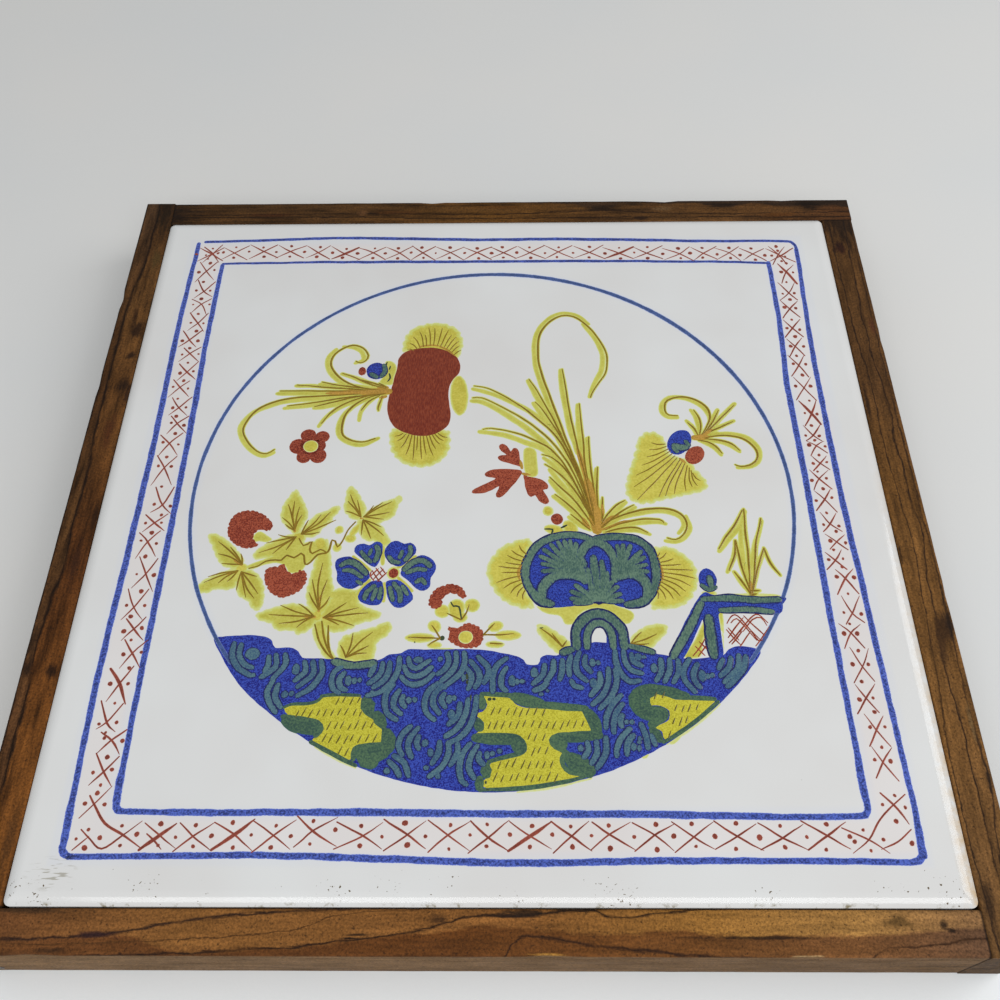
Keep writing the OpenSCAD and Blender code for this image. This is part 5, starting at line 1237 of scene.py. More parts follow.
PATCHES = [
    [(-78.6,-28.6),(-74,-26.4),(-70,-24.6),(-64,-22.6),(-60,-19.6),(-56.4,-19.4),(-54,-21.6),(-55.4,-25),
     (-58.6,-28),(-60.2,-30.6),(-64,-31.2),(-65.6,-28.8),(-68.6,-27.6),(-72.6,-28.4),(-76,-30)],
    [(-77.4,-17.8),(-76.6,-15.9),(-74.8,-15.6),(-72.4,-17.2),(-70.6,-18.6),(-72,-20),(-75,-19.6),
     (-76.6,-19.8)],
    [(14,-42.8),(20,-43.2),(25,-42.3),(30,-41.4),(36,-41.4),(40,-43),(43.6,-44.4),(44.4,-46.4),(42.6,-49.1),
     (40.4,-48.6),(38,-46),(34,-44),(30,-44.3),(27,-46.5),(25.4,-49.1),(22.8,-49.2),(21.3,-46.5),
     (17,-45.6)], [(58.2,-60),(61.8,-54.4),(65.6,-47.4),(65.7,-51.4),(64.4,-56),(63.2,-60.2)],
    [(70,-44.6),(71.6,-45),(71.3,-52),(70.4,-58.6)],
    [(-40.6,45.6),(-39.6,49),(-39.4,53.6),(-38.8,56),(-36.4,55.8),(-34.6,53),(-35.2,48),(-36,44.6)],
    [(10.6,16.8),(13.6,17.4),(15.2,15.4),(15.4,11),(15.6,6.4),(14,5),(11.4,6),(10.4,10)],
    [(-50.8,-37.6),(-47,-37.2),(-43.6,-37.4),(-41,-36.2),(-42.8,-39.4),(-47,-40),(-50.4,-40.4)]
]
# Yellow-green spots: (x, y, half width, half height, turn)
WASH_SPOTS = [
    (-11.9, 40, 3.5, 9.3, 3), (-30.9, -31.2, 2.3, 2.7, 0), (-62.3, 18.2, 2.7, 2.6, 0),
    (-7.4, -53.4, 2.4, 2.4, 0), (-49.5, -15.2, 1.7, 1.9, 0), (-45.6, -18.4, 2.1, 1.9, 0),
    (-49.6, -21.8, 1.8, 1.9, 0), (-44.4, -15.4, 1.5, 3.4, -30), (18.5, -8.2, 2.1, 2.2, 0),
    (20.4, -15.4, 3.8, 2.2, -15), (25.6, -14.6, 2.6, 3.4, 30), (-15, -44.6, 2.7, 2.6, 0),
    (-5.8, -42.6, 2.7, 2.7, 0), (-10.6, -43.6, 3, 3.6, 0), (-9.4, -46.6, 2.6, 2.2, 0),
    (-21.5, -53.6, 5, 1.9, 0), (-17.2, -49.8, 2.3, 2.5, 40), (-17, -56, 2.6, 1.5, 0),
    (1.6, -49.8, 2.7, 2.1, 20), (5.4, -52.8, 4.4, 2, 0), (1.4, -55.8, 3.2, 1.5, 0), (68, -38.6, 3, 1.2, 0),
    (82, -39.2, 9, 0.9, -1), (-53.6, -46, 2, 2.6, 0), (-79.4, -29.2, 2.4, 2, 0),
    (-62.4, -17.8, 2.6, 2.2, 0), (-55.2, -20.6, 2.4, 2.8, 0), (44.5, -90.4, 1.4, 1, 30),
    (53.4, -85.8, 2.4, 1, 38), (-14, -57.6, 4, 1, 0)
]
# Yellow-green strokes: (width, places along it)
WASH_STROKES = [
    (2.9, [(-38,42),(-50,41.8),(-62,41.3),(-76.3,41.2)]),
    (2.6, [(-38,42.6),(-50,43.3),(-60,44.3),(-70,44.6)]), (2.6, [(-38,42.6),(-50,44.4),(-61.6,45.2)]),
    (2.8, [(-38,43),(-45,46),(-54,50)]), (2.6, [(-38,43),(-43,45.4),(-47,46.8)]),
    (2.7, [(-38,42),(-46,42.6),(-52.6,45),(-57.4,49.2),(-59.7,54),(-59.6,58),(-57.4,61.4)]),
    (2.3, [(-54.6,62.7),(-51.5,62.4),(-48.4,60.8),(-47,58),(-47.4,56.2),(-49.8,54.9)]),
    (2.6, [(-38,41.3),(-50,39.8),(-62,38.8),(-72,37.8),(-79.4,35.4),(-84.6,31.8),(-87.4,26),(-85.2,19.8),
     (-81,15.4),(-77.5,14.3),(-74.8,15.6)]), (2.6, [(-38,40.7),(-52,38.2),(-62,36.2),(-73,34.6)]),
    (2.6, [(-40,40.4),(-50,38.2),(-57,35.6),(-62.6,34.6)]),
    (2.4, [(-40,40),(-46,38.6),(-53.4,34.9),(-58.3,30.4),(-60.2,26.8)]),
    (2.5, [(-38,41),(-43,39),(-48.4,35.8),(-52,31.4),(-53.3,27),(-52.4,22.2),(-48,19.3),(-44,18.8),
     (-39.4,21.4)]), (2.2, [(-41,39.6),(-44.6,36),(-46.2,32.6),(-46.5,29.2)]),
    (2, [(-39,40),(-39.8,36.6),(-40,33.4)]),
    (2.8, [(34,-14),(31,-5),(28.6,6),(25.6,15),(21,25),(13,32.6),(4,38.4),(-2,41.2),(-7,42.8)]),
    (3, [(33,-12),(29,-1),(24,9),(18,19),(10,27),(2,33.4),(-4,36.9),(-7.4,37.4)]),
    (3, [(30,-6),(25,6),(18,16),(11,19.6),(4,22.6),(-4.3,24)]),
    (2.9, [(27,12),(22.4,23),(18,33.4),(14.6,41),(12.4,46.3)]),
    (2.8, [(28,8),(23,20),(19,27.8),(16,33),(14.2,36.2)]),
    (2.7, [(29,15),(26.8,25),(25.4,35),(24.3,45),(24,51.2)]),
    (2.7, [(31.6,0),(30.4,10),(30,20),(29.6,30),(29.7,35.4)]),
    (2.4, [(33.4,-4),(32.4,8),(32.2,15),(32.4,21)]), (2.2, [(34.4,-8),(34.3,0),(34.9,8.4)]),
    (2.6, [(32,-9),(28,-3),(24.6,4),(20.6,10),(17.6,12.8)]), (2.6, [(32,-10),(27.4,-4),(23.4,2),(19.4,8)]),
    (2.6, [(32.6,-13),(28,-7),(23.4,-2),(19.4,3.6)]), (2.5, [(31.6,-14),(27,-9),(23,-5),(20.4,-2.6)]),
    (2.3, [(32,-15.4),(28.6,-13.4),(25.4,-10.6)]), (2.2, [(36,-12),(36,-8),(36.3,-4)]),
    (2.5, [(35,-15),(38.6,-10.4),(41.4,-7.4),(44,-5)]), (2.4, [(35,-15),(40,-12),(43.6,-9.4),(47,-7)]),
    (2.3, [(36,-15),(42,-11),(49,-9),(55,-8.3),(59,-9),(61.8,-11.4),(62.3,-14.2),(60.6,-16.8)]),
    (2, [(56,-19.6),(59,-20),(62.4,-18.4),(64.4,-14.6),(63.4,-10.4)]),
    (2.3, [(36,-15.6),(42,-14),(48,-12.8),(54,-12.6),(56.4,-13.2)]),
    (2.2, [(36.6,-16.3),(42,-15.7),(47,-15.8),(51,-17.2)]),
    (2.3, [(34,-14),(31,0),(27.5,11),(23,24.4),(19.4,36.6),(17,45),(15.3,52),(14.9,58),(15,64),(16.3,70),
     (19.6,75.2),(23.6,78),(27.4,78.6),(31.4,77),(35,73.2)]),
    (2.4, [(33,73),(36.6,67),(38.9,61),(39.4,56),(38.6,50.6),(36.4,46),(34.8,42),(34,39)]),
    (2.5, [(71,21),(74.4,25.6),(75.2,30),(73.6,33.8),(70,37),(66,38.6),(62,38.4),(59.2,35.8),(58.8,32.4),
     (60.8,30),(64,29.8)]), (2.6, [(71,21),(76,26),(80,30.8),(84.4,35.6)]),
    (2.5, [(71,21),(74.4,26),(78.2,33)]), (2.5, [(71,21),(76,24.6),(83.2,28.2)]),
    (2.4, [(71,21),(71,26),(70.4,30),(69,33)]), (2.3, [(70.6,21),(69.2,25),(67.2,28.2)]),
    (2.5, [(71,20.6),(76,22.4),(82,22.6),(87.4,20.8),(90.4,16.4),(90,12),(87,9.2),(82.6,8.8)]),
    (2.4, [(71,20.4),(78,19.4),(81,17.8),(83.8,15.2)]),
    (2.4, [(70.6,20),(73.6,18.4),(75.8,16.6),(77.4,14)]), (3.4, [(69,21),(73,22),(77,23)]),
    (2.4, [(82.6,-8.6),(80.6,-14),(77.2,-18),(72.8,-23.4)]), (2.2, [(78.4,-20.6),(77,-26),(74.6,-31)]),
    (2.4, [(80.6,-14),(80,-24),(80.4,-36)]), (2.4, [(87.6,-12.4),(85,-20),(82.6,-28),(81.4,-38)]),
    (2.4, [(87,-23.6),(84.6,-28),(82,-36)]), (1.6, [(87.4,-23),(88.6,-28),(91,-32)]),
    (2.2, [(76.6,-31),(78.6,-35),(80.6,-38.4)]), (3.4, [(79.4,-26),(80.6,-32),(81,-37.6)]),
    (2.2, [(84.6,-21),(83.4,-28)]), (2, [(78.8,-22),(79,-28)]), (1.9, [(-34.8,-21.8),(-34.6,-27.8)]),
    (1.8, [(-24.4,-25.2),(-29.4,-29)]), (1.8, [(-24.8,-37.4),(-29.2,-33)]),
    (1.8, [(-33.4,-41),(-33.5,-35)]), (2, [(-41.8,-38.6),(-38.4,-33.8)]), (1.8, [(-44,-25.2),(-38.6,-30)])
]

# Thin washes that spilt over the ring, in front of the islands
SPILT_WASHES = [
    [(8,-100.9),(18,-99.4),(29,-96.9)], [(-50,-88),(-45,-90.6),(-38,-93.9)], [(51,-87),(59,-81.8),(67.4,-75)]
]

# Brown strokes of the pen-like brush
FEATHER_STROKES = [
    [(-37,41.5),(-50,42),(-58,42.2),(-75.5,42.4)], [(-38,42),(-50,43),(-60,43.9),(-69.8,45)],
    [(-38,42),(-45,43.3),(-54,44.6),(-61,46.3)], [(-38,43),(-45,45.8),(-50,48.6),(-54,50.2)],
    [(-38,43.5),(-42,45.4),(-47,47.2)], [(-38,44),(-40.6,45.6)],
    [(-38,41),(-52,39.2),(-62,37.2),(-72,35.6)], [(-38,41),(-48,39.6),(-56,37.2),(-62.5,35.3)],
    [(-38,41),(-45,39.6),(-52,36.5),(-56.6,32.6),(-59.4,28)], [(-40,40),(-43.6,37.4),(-46,33.6)],
    [(-39,39.6),(-40.2,35),(-40,33.4)], [(-42.6,44.4),(-45.6,46.4)],
    [(-6.5,44.2),(-2,43.2),(4,39.5),(10,35),(15,30),(20,24.5),(24,18),(28,8),(31,-2),(34,-15)],
    [(-7,38.9),(-4,38.8),(2,35.5),(8,31.5),(14,26.5),(20,20),(25,12),(29,2),(32,-8),(34,-15)],
    [(-3.2,25),(-0.6,25.5),(5,24.4),(10,22.7),(15,20),(20,16.4),(25,9),(29,-1),(34,-15)],
    [(12.9,47),(15.5,42),(19,34),(23,24),(27,12),(31,-2),(34,-15)],
    [(14.9,36.8),(17,34),(20,28.5),(24,20.4),(29,7),(34,-15)],
    [(24.7,51.6),(25.5,45),(26.5,35),(27.8,25),(29.5,15),(32,0),(34,-15)],
    [(30.3,36),(30.5,30),(31,20),(31.3,10),(32.5,0),(34.5,-15)],
    [(33,21.6),(32.9,15),(33.2,8),(33.8,0),(34.5,-12)], [(35.4,9),(35,3),(34.8,-3),(35,-12)],
    [(17,14.3),(20,13.2),(23.5,9.8),(27,4),(30,-3),(33,-12)],
    [(18,10.3),(21,8),(25,3.5),(29,-3),(32.5,-11)], [(19.4,5),(22,2),(26,-2.5),(30,-8.5),(33,-14)],
    [(21,-1.8),(24,-4.6),(28,-9),(31.5,-14)], [(26,-9.5),(29,-12.5),(32,-15.5)],
    [(36.5,-3),(36.3,-7),(36.2,-12)], [(36.6,-8),(35.8,-12)], [(43.8,-4.2),(41,-6),(38,-9.5),(35.5,-13.5)],
    [(46.6,-6),(43,-8),(39,-11.5),(36,-14.5)],
    [(56,-12.8),(54.6,-11.6),(50,-11.4),(46,-12),(41,-13.4),(37,-15.5)],
    [(50.5,-16.5),(47.5,-14.8),(44,-14.6),(40,-15.4),(37,-16.3)], [(84.3,35),(80,30.5),(76,26),(72,22)],
    [(78.5,32.8),(76.5,28.5),(73.8,24.4),(71.5,21.5)], [(83,27.9),(79,25.8),(75,23.8),(72,22)],
    [(70,33),(71.5,29.5),(71.8,26),(71,22)], [(67.5,27.5),(69.5,24.8),(70.5,22)],
    [(84,15.7),(81.5,18.5),(78,20),(73,20.6)], [(77.8,14.6),(76,17.5),(73.5,19.3),(70.5,20)]
]
SCROLL_STROKES = [
    [(-38,42),(-46,43.5),(-52,46),(-56,49.5),(-58.6,54),(-58.2,58),(-55.5,61.4),(-51.5,63.4),(-47.5,62),
     (-45.4,58.5),(-46.2,56),(-48,55.1),(-49.6,55.8)],
    [(-38,41.5),(-50,40.6),(-62,39.9),(-72,38.9),(-79.6,36.2),(-84,32.2),(-86.4,26),(-84.4,20.5),
     (-80.6,16.2),(-77,15.2),(-74.6,16.9)],
    [(-38,41),(-43,39.5),(-48,36.5),(-51.3,32),(-52.2,27),(-51.5,22.8),(-48,20.5),(-44,20),(-40.4,21.3)],
    [(34,-15),(32.5,-8),(31,0),(28.5,10),(26,18),(23.5,27),(21,36),(18.5,45),(16.8,52),(16.2,58),(16.3,64),
     (17.5,69.5),(20.5,74),(24,76.8),(27.4,77.4),(30.8,76),(34.5,72.3),(38,66.5),(40.3,61),(41,56),
     (40.2,50),(37.8,45.5),(35.4,41.5),(34.4,38.9)],
    [(34.5,-15.5),(38,-12.5),(43,-9.8),(49,-8),(55,-7.3),(59.5,-8.2),(62.5,-10.5),(63.4,-14),(61.8,-17.5),
     (59.3,-19.2),(56.8,-18.6)],
    [(71,21),(73.6,25.5),(75.3,30),(74.6,34),(71,37.4),(66.5,38.9),(62.5,38),(60.3,36.2),(60,32.8),
     (61.2,31),(64.2,30.6)],
    [(71,20.5),(76,21.8),(81.5,21.9),(86.5,20),(89.5,15.8),(89.2,12),(86.5,9.8),(83.6,9.2),(81.8,9.9)]
]
VINES = [
    [(-77,-29.4),(-74,-28.4),(-72,-26.8),(-69,-26.3),(-67,-26.4),(-65.4,-24.6),(-63,-25.5),(-61,-23.9),
     (-60,-24.6),(-59.3,-27.8),(-57.8,-27.2),(-55.5,-24.4),(-53,-23.9),(-52,-22.4),(-51.5,-19),
     (-50.4,-19.4),(-49.5,-21.6),(-48,-19.4),(-46.6,-15.4),(-44.4,-12.2)],
    [(-62.2,-18.4),(-60.6,-21),(-59.3,-20.6),(-58,-19.6),(-58.4,-22.4),(-57.4,-24),(-55,-22.5),(-53,-23.6)],
    [(-54,-49),(-52.2,-54.6),(-49.6,-58.4),(-47.6,-60.4)], [(-52,-48),(-51,-53),(-49.4,-57),(-47.4,-60.3)],
    [(-49.9,-49.6),(-49.4,-55),(-48.2,-59),(-46.8,-60.8)]
]
GRASS_STROKES = [
    [(82.4,-7.8),(82,-16),(81.6,-28),(80.8,-39)], [(81.9,-8.2),(79.4,-13),(77,-16.4),(75,-19),(72.8,-22.6)],
    [(78.3,-19.6),(77.6,-25),(75.2,-30.4)], [(78.5,-19.6),(79.3,-29),(81,-38.5)],
    [(87.5,-11.5),(85,-20),(83.4,-29),(81.6,-38)], [(87,-22.5),(84.5,-29),(81.5,-38.5)],
    [(87,-22.5),(88.5,-28),(91,-32.2)], [(76.8,-31),(79,-35),(80.7,-38.7)], [(81,-37.7),(83.7,-37.7)],
    [(81,-39.2),(82.6,-38.8)]
]
# Rays of leaves: where they spring from, then their tips
LEAF_RAYS = [
    ((-64,-15.4), [(-67.3,-5.4),(-65.3,-4),(-63.4,-6.4),(-62.2,-9.4),(-68.6,-10.4),(-67.2,-13)]),
    ((-61.6,-16.8), [(-53,-8.4),(-56,-9.4),(-51,-11.4),(-60,-11.4),(-55.8,-16)]),
    ((-63.2,-17.8), [(-69,-17),(-72.6,-20),(-74.6,-23.6),(-70,-24.1),(-66,-22.6)]),
    ((-79.4,-27.9), [(-88.3,-19.5),(-84,-21.5),(-87.5,-24),(-86,-27.6),(-80.4,-24)]),
    ((-80.4,-30.2), [(-90.5,-34.4),(-89.5,-32.3),(-86,-34.6),(-83.2,-34)]),
    ((-79.2,-30.6), [(-74.2,-32.2),(-73,-38.4),(-74,-40),(-76.6,-39.6),(-80,-37)]),
    ((-42.8,-10.2), [(-46.9,-1.6),(-47.5,-4.2),(-44.4,-3.8),(-47.9,-8)]),
    ((-41.8,-10.2), [(-33,-4.4),(-36,-4.8),(-39,-6),(-33.5,-8.4),(-35.4,-11.2)]),
    ((-41.9,-11.4), [(-36,-14.2),(-35,-17.4),(-39,-18.5),(-42.2,-17.2)]),
    ((-53.4,-44.2), [(-53.6,-27.6),(-56.5,-33.4),(-51.7,-33.6),(-57,-38),(-50.4,-39.4)]),
    ((-54.6,-46.3), [(-68.5,-45.6),(-65.3,-42.4),(-59.8,-42),(-65.2,-48.7),(-59.5,-50)]),
    ((-51.6,-46.6), [(-38,-45.1),(-41,-43.4),(-45,-41.6),(-42,-49.5),(-46.6,-49.2)]),
    ((-43.6,-60), [(-36,-51.6),(-42,-52),(-37,-56.2),(-37.4,-58.6),(-45.6,-56)]),
    ((21.8,-56.6), [(15.4,-50.4),(18.8,-52.2),(23.2,-54.6)]),
    ((42.6,-55.8), [(50.6,-52.4),(46,-51.8),(48,-55.6)]), ((-9,-47.6), [(-6.7,-42.4),(-13.4,-45.4)]),
    ((-15.2,-53.8), [(-25,-53.4),(-18,-49.4),(-18.8,-56.2)]), ((-2.2,-52.6), [(1.3,-48.8),(7,-52.2)]),
    ((0,-55.4), [(3.8,-55.6)])
]
# Rays of fans: where the ends of their start line lie, then their tips, in order along it
FAN_RAYS = [
    ([(-29.6,60.6),(-26,62.4),(-22,63),(-17.6,62),(-13.6,58.4)], [(-31.4,61.4),(-30.4,64.2),(-29.4,67.2),
     (-27.2,69.8),(-25.2,68.2),(-24,71.6),(-21.8,71.4),(-19,71.4),(-16.6,70.4),(-15.4,68),(-13.6,67),
     (-12.6,65),(-12.4,62.8),(-11.8,60.8)]),
    ([(-31.4,23.6),(-28,22.8),(-25,22.2),(-22,22.5),(-18.2,23.6)], [(-33.6,22.4),(-32.6,20.4),(-31.2,17.4),
     (-29.4,14.4),(-27,12.4),(-25.8,16.4),(-24,12.8),(-22.4,14.6),(-20,14.2),(-19.4,17),(-18,18.8),
     (-16.8,20.4),(-15.4,21.6)]),
    ([(11.6,-24),(10.2,-27.6),(9.4,-31),(9.8,-35),(11,-38)], [(9,-21.2),(6.6,-23),(5.2,-24.8),(4.6,-27.4),
     (2.4,-28.8),(3.4,-31),(1.8,-34.6),(4,-36.6),(6.2,-38.4),(8.2,-39.6),(10,-40.6)]),
    ([(52.6,-25),(53.4,-28),(53.4,-31),(53,-34),(51.8,-38)], [(53.8,-24),(55.8,-24.1),(57.8,-26.2),
     (60.2,-28.2),(63.6,-30.4),(64.2,-33.3),(62.6,-36),(60.8,-37.8),(59,-39.4),(56.8,-40.4),(54.4,-40.6),
     (52,-40.4)]),
    ([(58.6,19),(60,16),(62.2,13),(64.2,11),(66,9),(67.4,6)], [(54.4,19.1),(53.4,16.3),(52.4,13.3),
     (50.4,9.8),(48.2,5.8),(47.2,1.1),(48,-4),(55.2,-2.8),(57.4,-2.4),(60.4,-1.6),(64.2,-0.6),(66.4,1.1),
     (68.2,1.4),(69.4,3.4)])
]
# Solid ochre where strokes spring from: (width, places along it)
OCHRE_STEMS = [
    (3.6, [(-37,41.9),(-43,41.7),(-49,41.5)]), (2.6, [(-46,41.8),(-52,41.5),(-59,41.2)]),
    (1.8, [(-37.6,43.6),(-41,43.6)]), (1.6, [(-37.8,39.6),(-40,39)]),
    (5.2, [(34.2,-15.4),(33.9,-10),(33.4,-5)]), (3.8, [(33.6,-7),(32.4,0),(31.2,6)]),
    (2, [(31.4,5),(30,12),(28.8,18)]), (2, [(35.4,-14.6),(38.4,-11.4),(41.4,-9.8)]),
    (1.2, [(36,-15.4),(42,-12.8),(47,-11.8)]), (1.6, [(31.6,-14.6),(29.4,-10.6)]),
    (2.8, [(69,21.2),(71.6,21.2),(74,21.6)]), (1.4, [(72,22),(75.6,24.4)]), (1.6, [(81,-38.4),(81.2,-34)]),
    (1, [(-42.9,-10.8),(-42,-10.8)]), (1.2, [(-53.3,-44.4),(-53.4,-39)]),
    (1.4, [(-54.4,-46.4),(-58,-46.2)]), (1.2, [(-51.6,-46.7),(-48.6,-46.6)]),
    (1.2, [(-64,-15.6),(-64.2,-13)]), (1.4, [(-79.6,-28),(-82.6,-25.6)]),
    (1.2, [(-80.8,-30.4),(-84,-31.6)]), (1, [(-19.4,62.4),(-16.6,60.8),(-13.6,58)]),
    (0.9, [(-27,62.6),(-22.6,63.2),(-19,62.6)]), (1.1, [(9.4,-28.6),(8.6,-31),(9.2,-34)]),
    (0.9, [(53.8,-29),(54.2,-31.6),(53.8,-34.4)]), (1.3, [(10,8.8),(9.4,12)]), (1.2, [(10.4,6.6),(13,6)]),
    (1.1, [(63.4,12.4),(65.4,10.6)])
]
# The same over the brown strokes
OCHRE_HUBS = [
    (3.4, [(34.4,-15.2),(34.6,-10),(34.2,-6)]), (2, [(34,-7),(33.2,-1),(32.2,4)]),
    (1, [(36.2,-6),(36.6,-10)]), (3.2, [(70.4,21.2),(73.2,21.8)]), (1.6, [(72.6,22.4),(75.4,24.6)]),
    (3, [(-37.4,41.8),(-43,41.6),(-49,41.4)]), (1.5, [(-48,41.7),(-55,41.3)])
]
DARK_STROKES = [
    (0.7, [(-38.4,55.2),(-38.8,53.6),(-38.5,52)]), (0.7, [(-37,53.4),(-37.3,51.8)]),
    (0.8, [(-37.2,50),(-36.8,48),(-37.6,46.4)]), (0.8, [(17.4,-15),(19.8,-15.2),(19.4,-17)]),
    (0.8, [(22.6,-14.7),(24.4,-13.7)]), (0.7, [(-9,-47.4),(-9.8,-43),(-11.6,-42.8),(-12.4,-41.4)]),
    (0.9, [(-7.7,-53.9),(-7,-53.3)]), (0.6, [(15.2,-50.4),(16,-50.3)])
]
DARK_SPOTS = [
    (-14.7, -53.7, 0.8, 0.9), (36, -18.4, 0.8, 0.7), (34.5, -28.6, 0.6, 0.6), (0, -73.4, 0.7, 0.6),
    (1.3, -73.3, 0.6, 0.5), (-7, -66.2, 0.8, 1.1), (-6.7, -68, 0.5, 0.8), (-5.6, -73, 0.4, 1.2),
    (-22.9, -55, 0.25, 0.3), (-0.9, -98.1, 0.4, 0.5), (-0.3, -100.2, 0.6, 0.3)
]


# Fired colours as materials

def fired(name, fade, body, grain=0.3, grit=0.45, streak=(1, 1, 1), shift=0.2, clouding=0.8):
    """A colour painted on raw tin glaze and fired into it, so that it is as glossy as the glaze. The
    colour has crept a little at its rims and lies in fine grains where it was laid thin.
    fade: tones from the rims to the full coat. body: two tones that the full coat wanders between.
    grit: the grains' size in mm. shift and clouding: how much a stroke's own strength, and patches
    4 mm wide, change its tone."""
    material, tree, shader, place = new_material(name)
    cover = add_node(tree, "Attribute", out="Fac", attribute_name="cover")
    strength = add_node(tree, "Attribute", out="Fac", attribute_name="tone")
    drawn = add_node(tree, "Mapping", {"Vector": place, "Scale": [1 / s for s in streak]})
    grains = add_node(tree, "TexNoise", {"Vector": drawn, "Scale": 1 / (grit * MM), "Detail": 2,
                                         "Roughness": 0.65})
    grains = add_node(tree, "MapRange", {0: grains, 1: 0.34, 2: 0.66, 3: -grain, 4: grain})
    clouds = add_node(tree, "TexNoise", {"Vector": place, "Scale": 1 / (3.5 * MM), "Detail": 3,
                                         "Roughness": 0.6})
    clouds = add_node(tree, "MapRange", {0: clouds, 1: 0.3, 2: 0.7, 3: 0.5 - clouding / 2,
                                         4: 0.5 + clouding / 2})
    rough_cover = add_node(tree, "Math", {0: grains, 1: 0.35, 2: cover}, operation="MULTIPLY_ADD",
                           use_clamp=True)
    wander = add_node(tree, "Math", {0: grains, 1: 1.4, 2: clouds}, operation="MULTIPLY_ADD")
    wander = add_node(tree, "Math", {0: strength, 1: shift, 2: wander}, operation="MULTIPLY_ADD",
                      use_clamp=True)
    full = add_node(tree, "Mix", {0: wander, 6: colour(body[0]), 7: colour(body[1])}, **IN_COLOUR)
    rim = add_node(tree, "ValToRGB", {0: rough_cover}, stops=fade)
    start = fade[-1][0]
    inside = add_node(tree, "MapRange", {0: rough_cover, 1: start - 0.12, 2: start + 0.1})
    tone = add_node(tree, "Mix", {0: inside, 6: rim, 7: full}, **IN_COLOUR)
    set_shader(tree, shader, Base_Color=tone, Roughness=0.13, IOR=1.5)
    return material


FADES = {
    "line": [(0.0, "#CBD1E2"), (0.22, "#A4B0DA"), (0.4, "#5E70C2"), (0.58, "#3A4EB0")],
    "ring": [(0.0, "#D0D4DE"), (0.3, "#B9C2DD"), (0.55, "#7080B0"), (0.75, "#445A8C")],
    "ground": [(0.0, "#7E8CC8"), (0.3, "#2C3CA0"), (0.7, "#101C84")],
    "blue": [(0.0, "#7E8CC8"), (0.2, "#3A4AA0"), (0.5, "#1A2678")],
    "teal": [(0.0, "#080F44"), (0.52, "#0C1452"), (0.62, "#1A2E60"), (0.72, "#44606A")],
    "green": [(0.0, "#4E7050"), (0.3, "#31504E"), (0.6, "#3C5E44")],
    "wash": [(0.0, "#D9DAD2"), (0.22, "#D6DABA"), (0.5, "#CCD084"), (0.82, "#C2C658")],
    "island": [(0.0, "#8C8A34"), (0.3, "#B0A82C"), (0.6, "#B8B02E")],
    "brown": [(0.0, "#C0B84A"), (0.25, "#A5942C"), (0.5, "#88700E"), (0.7, "#785E00")],
    "ochre": [(0.0, "#BFAE40"), (0.35, "#B1902E"), (0.7, "#AA8028")],
    "red": [(0.0, "#B98A70"), (0.2, "#A0583C"), (0.5, "#8B3820")],
    "lattice": [(0.0, "#D6C4BF"), (0.3, "#C08C7C"), (0.6, "#8E4632")],
    "dark": [(0.0, "#4A5030"), (0.5, "#2A3320")],
}

line_blue = fired("fired_cobalt_line", FADES["line"], ("#22306E", "#5066C0"), 0.5, shift=0.3, clouding=0.45)
ring_blue = fired("fired_cobalt_ring", FADES["ring"], ("#2E4270", "#475F98"), 0.35)
ground_blue = fired("fired_cobalt_ground", FADES["ground"], ("#04046E", "#344CB0"), 0.62, 0.32, clouding=0.25)
petal_blue = fired("fired_cobalt_petals", FADES["blue"], ("#071470", "#304AB0"), 0.6, 0.34, clouding=0.35)
whorl_teal = fired("fired_cobalt_over_copper", FADES["teal"], ("#2E5070", "#54767E"), 0.4, 0.35, clouding=0.5)
teal = fired("fired_copper_teal", FADES["teal"], ("#375650", "#627E6A"), 0.4, 0.35,
             streak=(1, 2, 1), clouding=0.5)
bank_green = fired("fired_copper_green", FADES["green"], ("#2D4A42", "#506E4E"), 0.4, clouding=0.5)
wash_yellow = fired("fired_yellow_green_wash", FADES["wash"], ("#B2AC3F", "#C8C45B"), 0.25, 0.6)
fan_yellow = fired("fired_yellow_green_fans", FADES["wash"], ("#B5AB3A", "#CEC454"), 0.3, 0.6)
island_yellow = fired("fired_antimony_yellow", FADES["island"], ("#A69E1C", "#C8C23C"), 0.5, 0.32,
                      clouding=0.4)
stroke_brown = fired("fired_manganese_brown", FADES["brown"], ("#705600", "#8C7010"), 0.35)
stem_ochre = fired("fired_ochre", FADES["ochre"], ("#9A7626", "#BE923C"), 0.35)
bean_red = fired("fired_iron_red", FADES["red"], ("#6A1C00", "#883A1C"), 0.45, 0.3,
                 streak=(1, 5, 1), clouding=0.4)
petal_red = fired("fired_iron_red_petals", FADES["red"], ("#6C1A02", "#A44E32"), 0.6, 0.32, clouding=0.4)
lattice_red = fired("fired_iron_red_lattice", FADES["lattice"], ("#6C2A1C", "#944434"), 0.4)
mark_dark = fired("fired_dark_green", FADES["dark"], ("#222B1B", "#38452A"), 0.3)
dash_olive = fired("fired_olive", FADES["brown"], ("#4C4A08", "#6A6616"), 0.3)

# How high each kind of coat stands: the later it is laid, the higher
WASH_H, GROUND_H, BODY_H, BANK_H = 0.008 * MM, 0.01 * MM, 0.02 * MM, 0.04 * MM
STEM_H, PEN_H, TEAL_H = 0.05 * MM, 0.06 * MM, 0.075 * MM


# Border lines and ring

def millimetres(places):
    return [Vector(place) * MM for place in places]


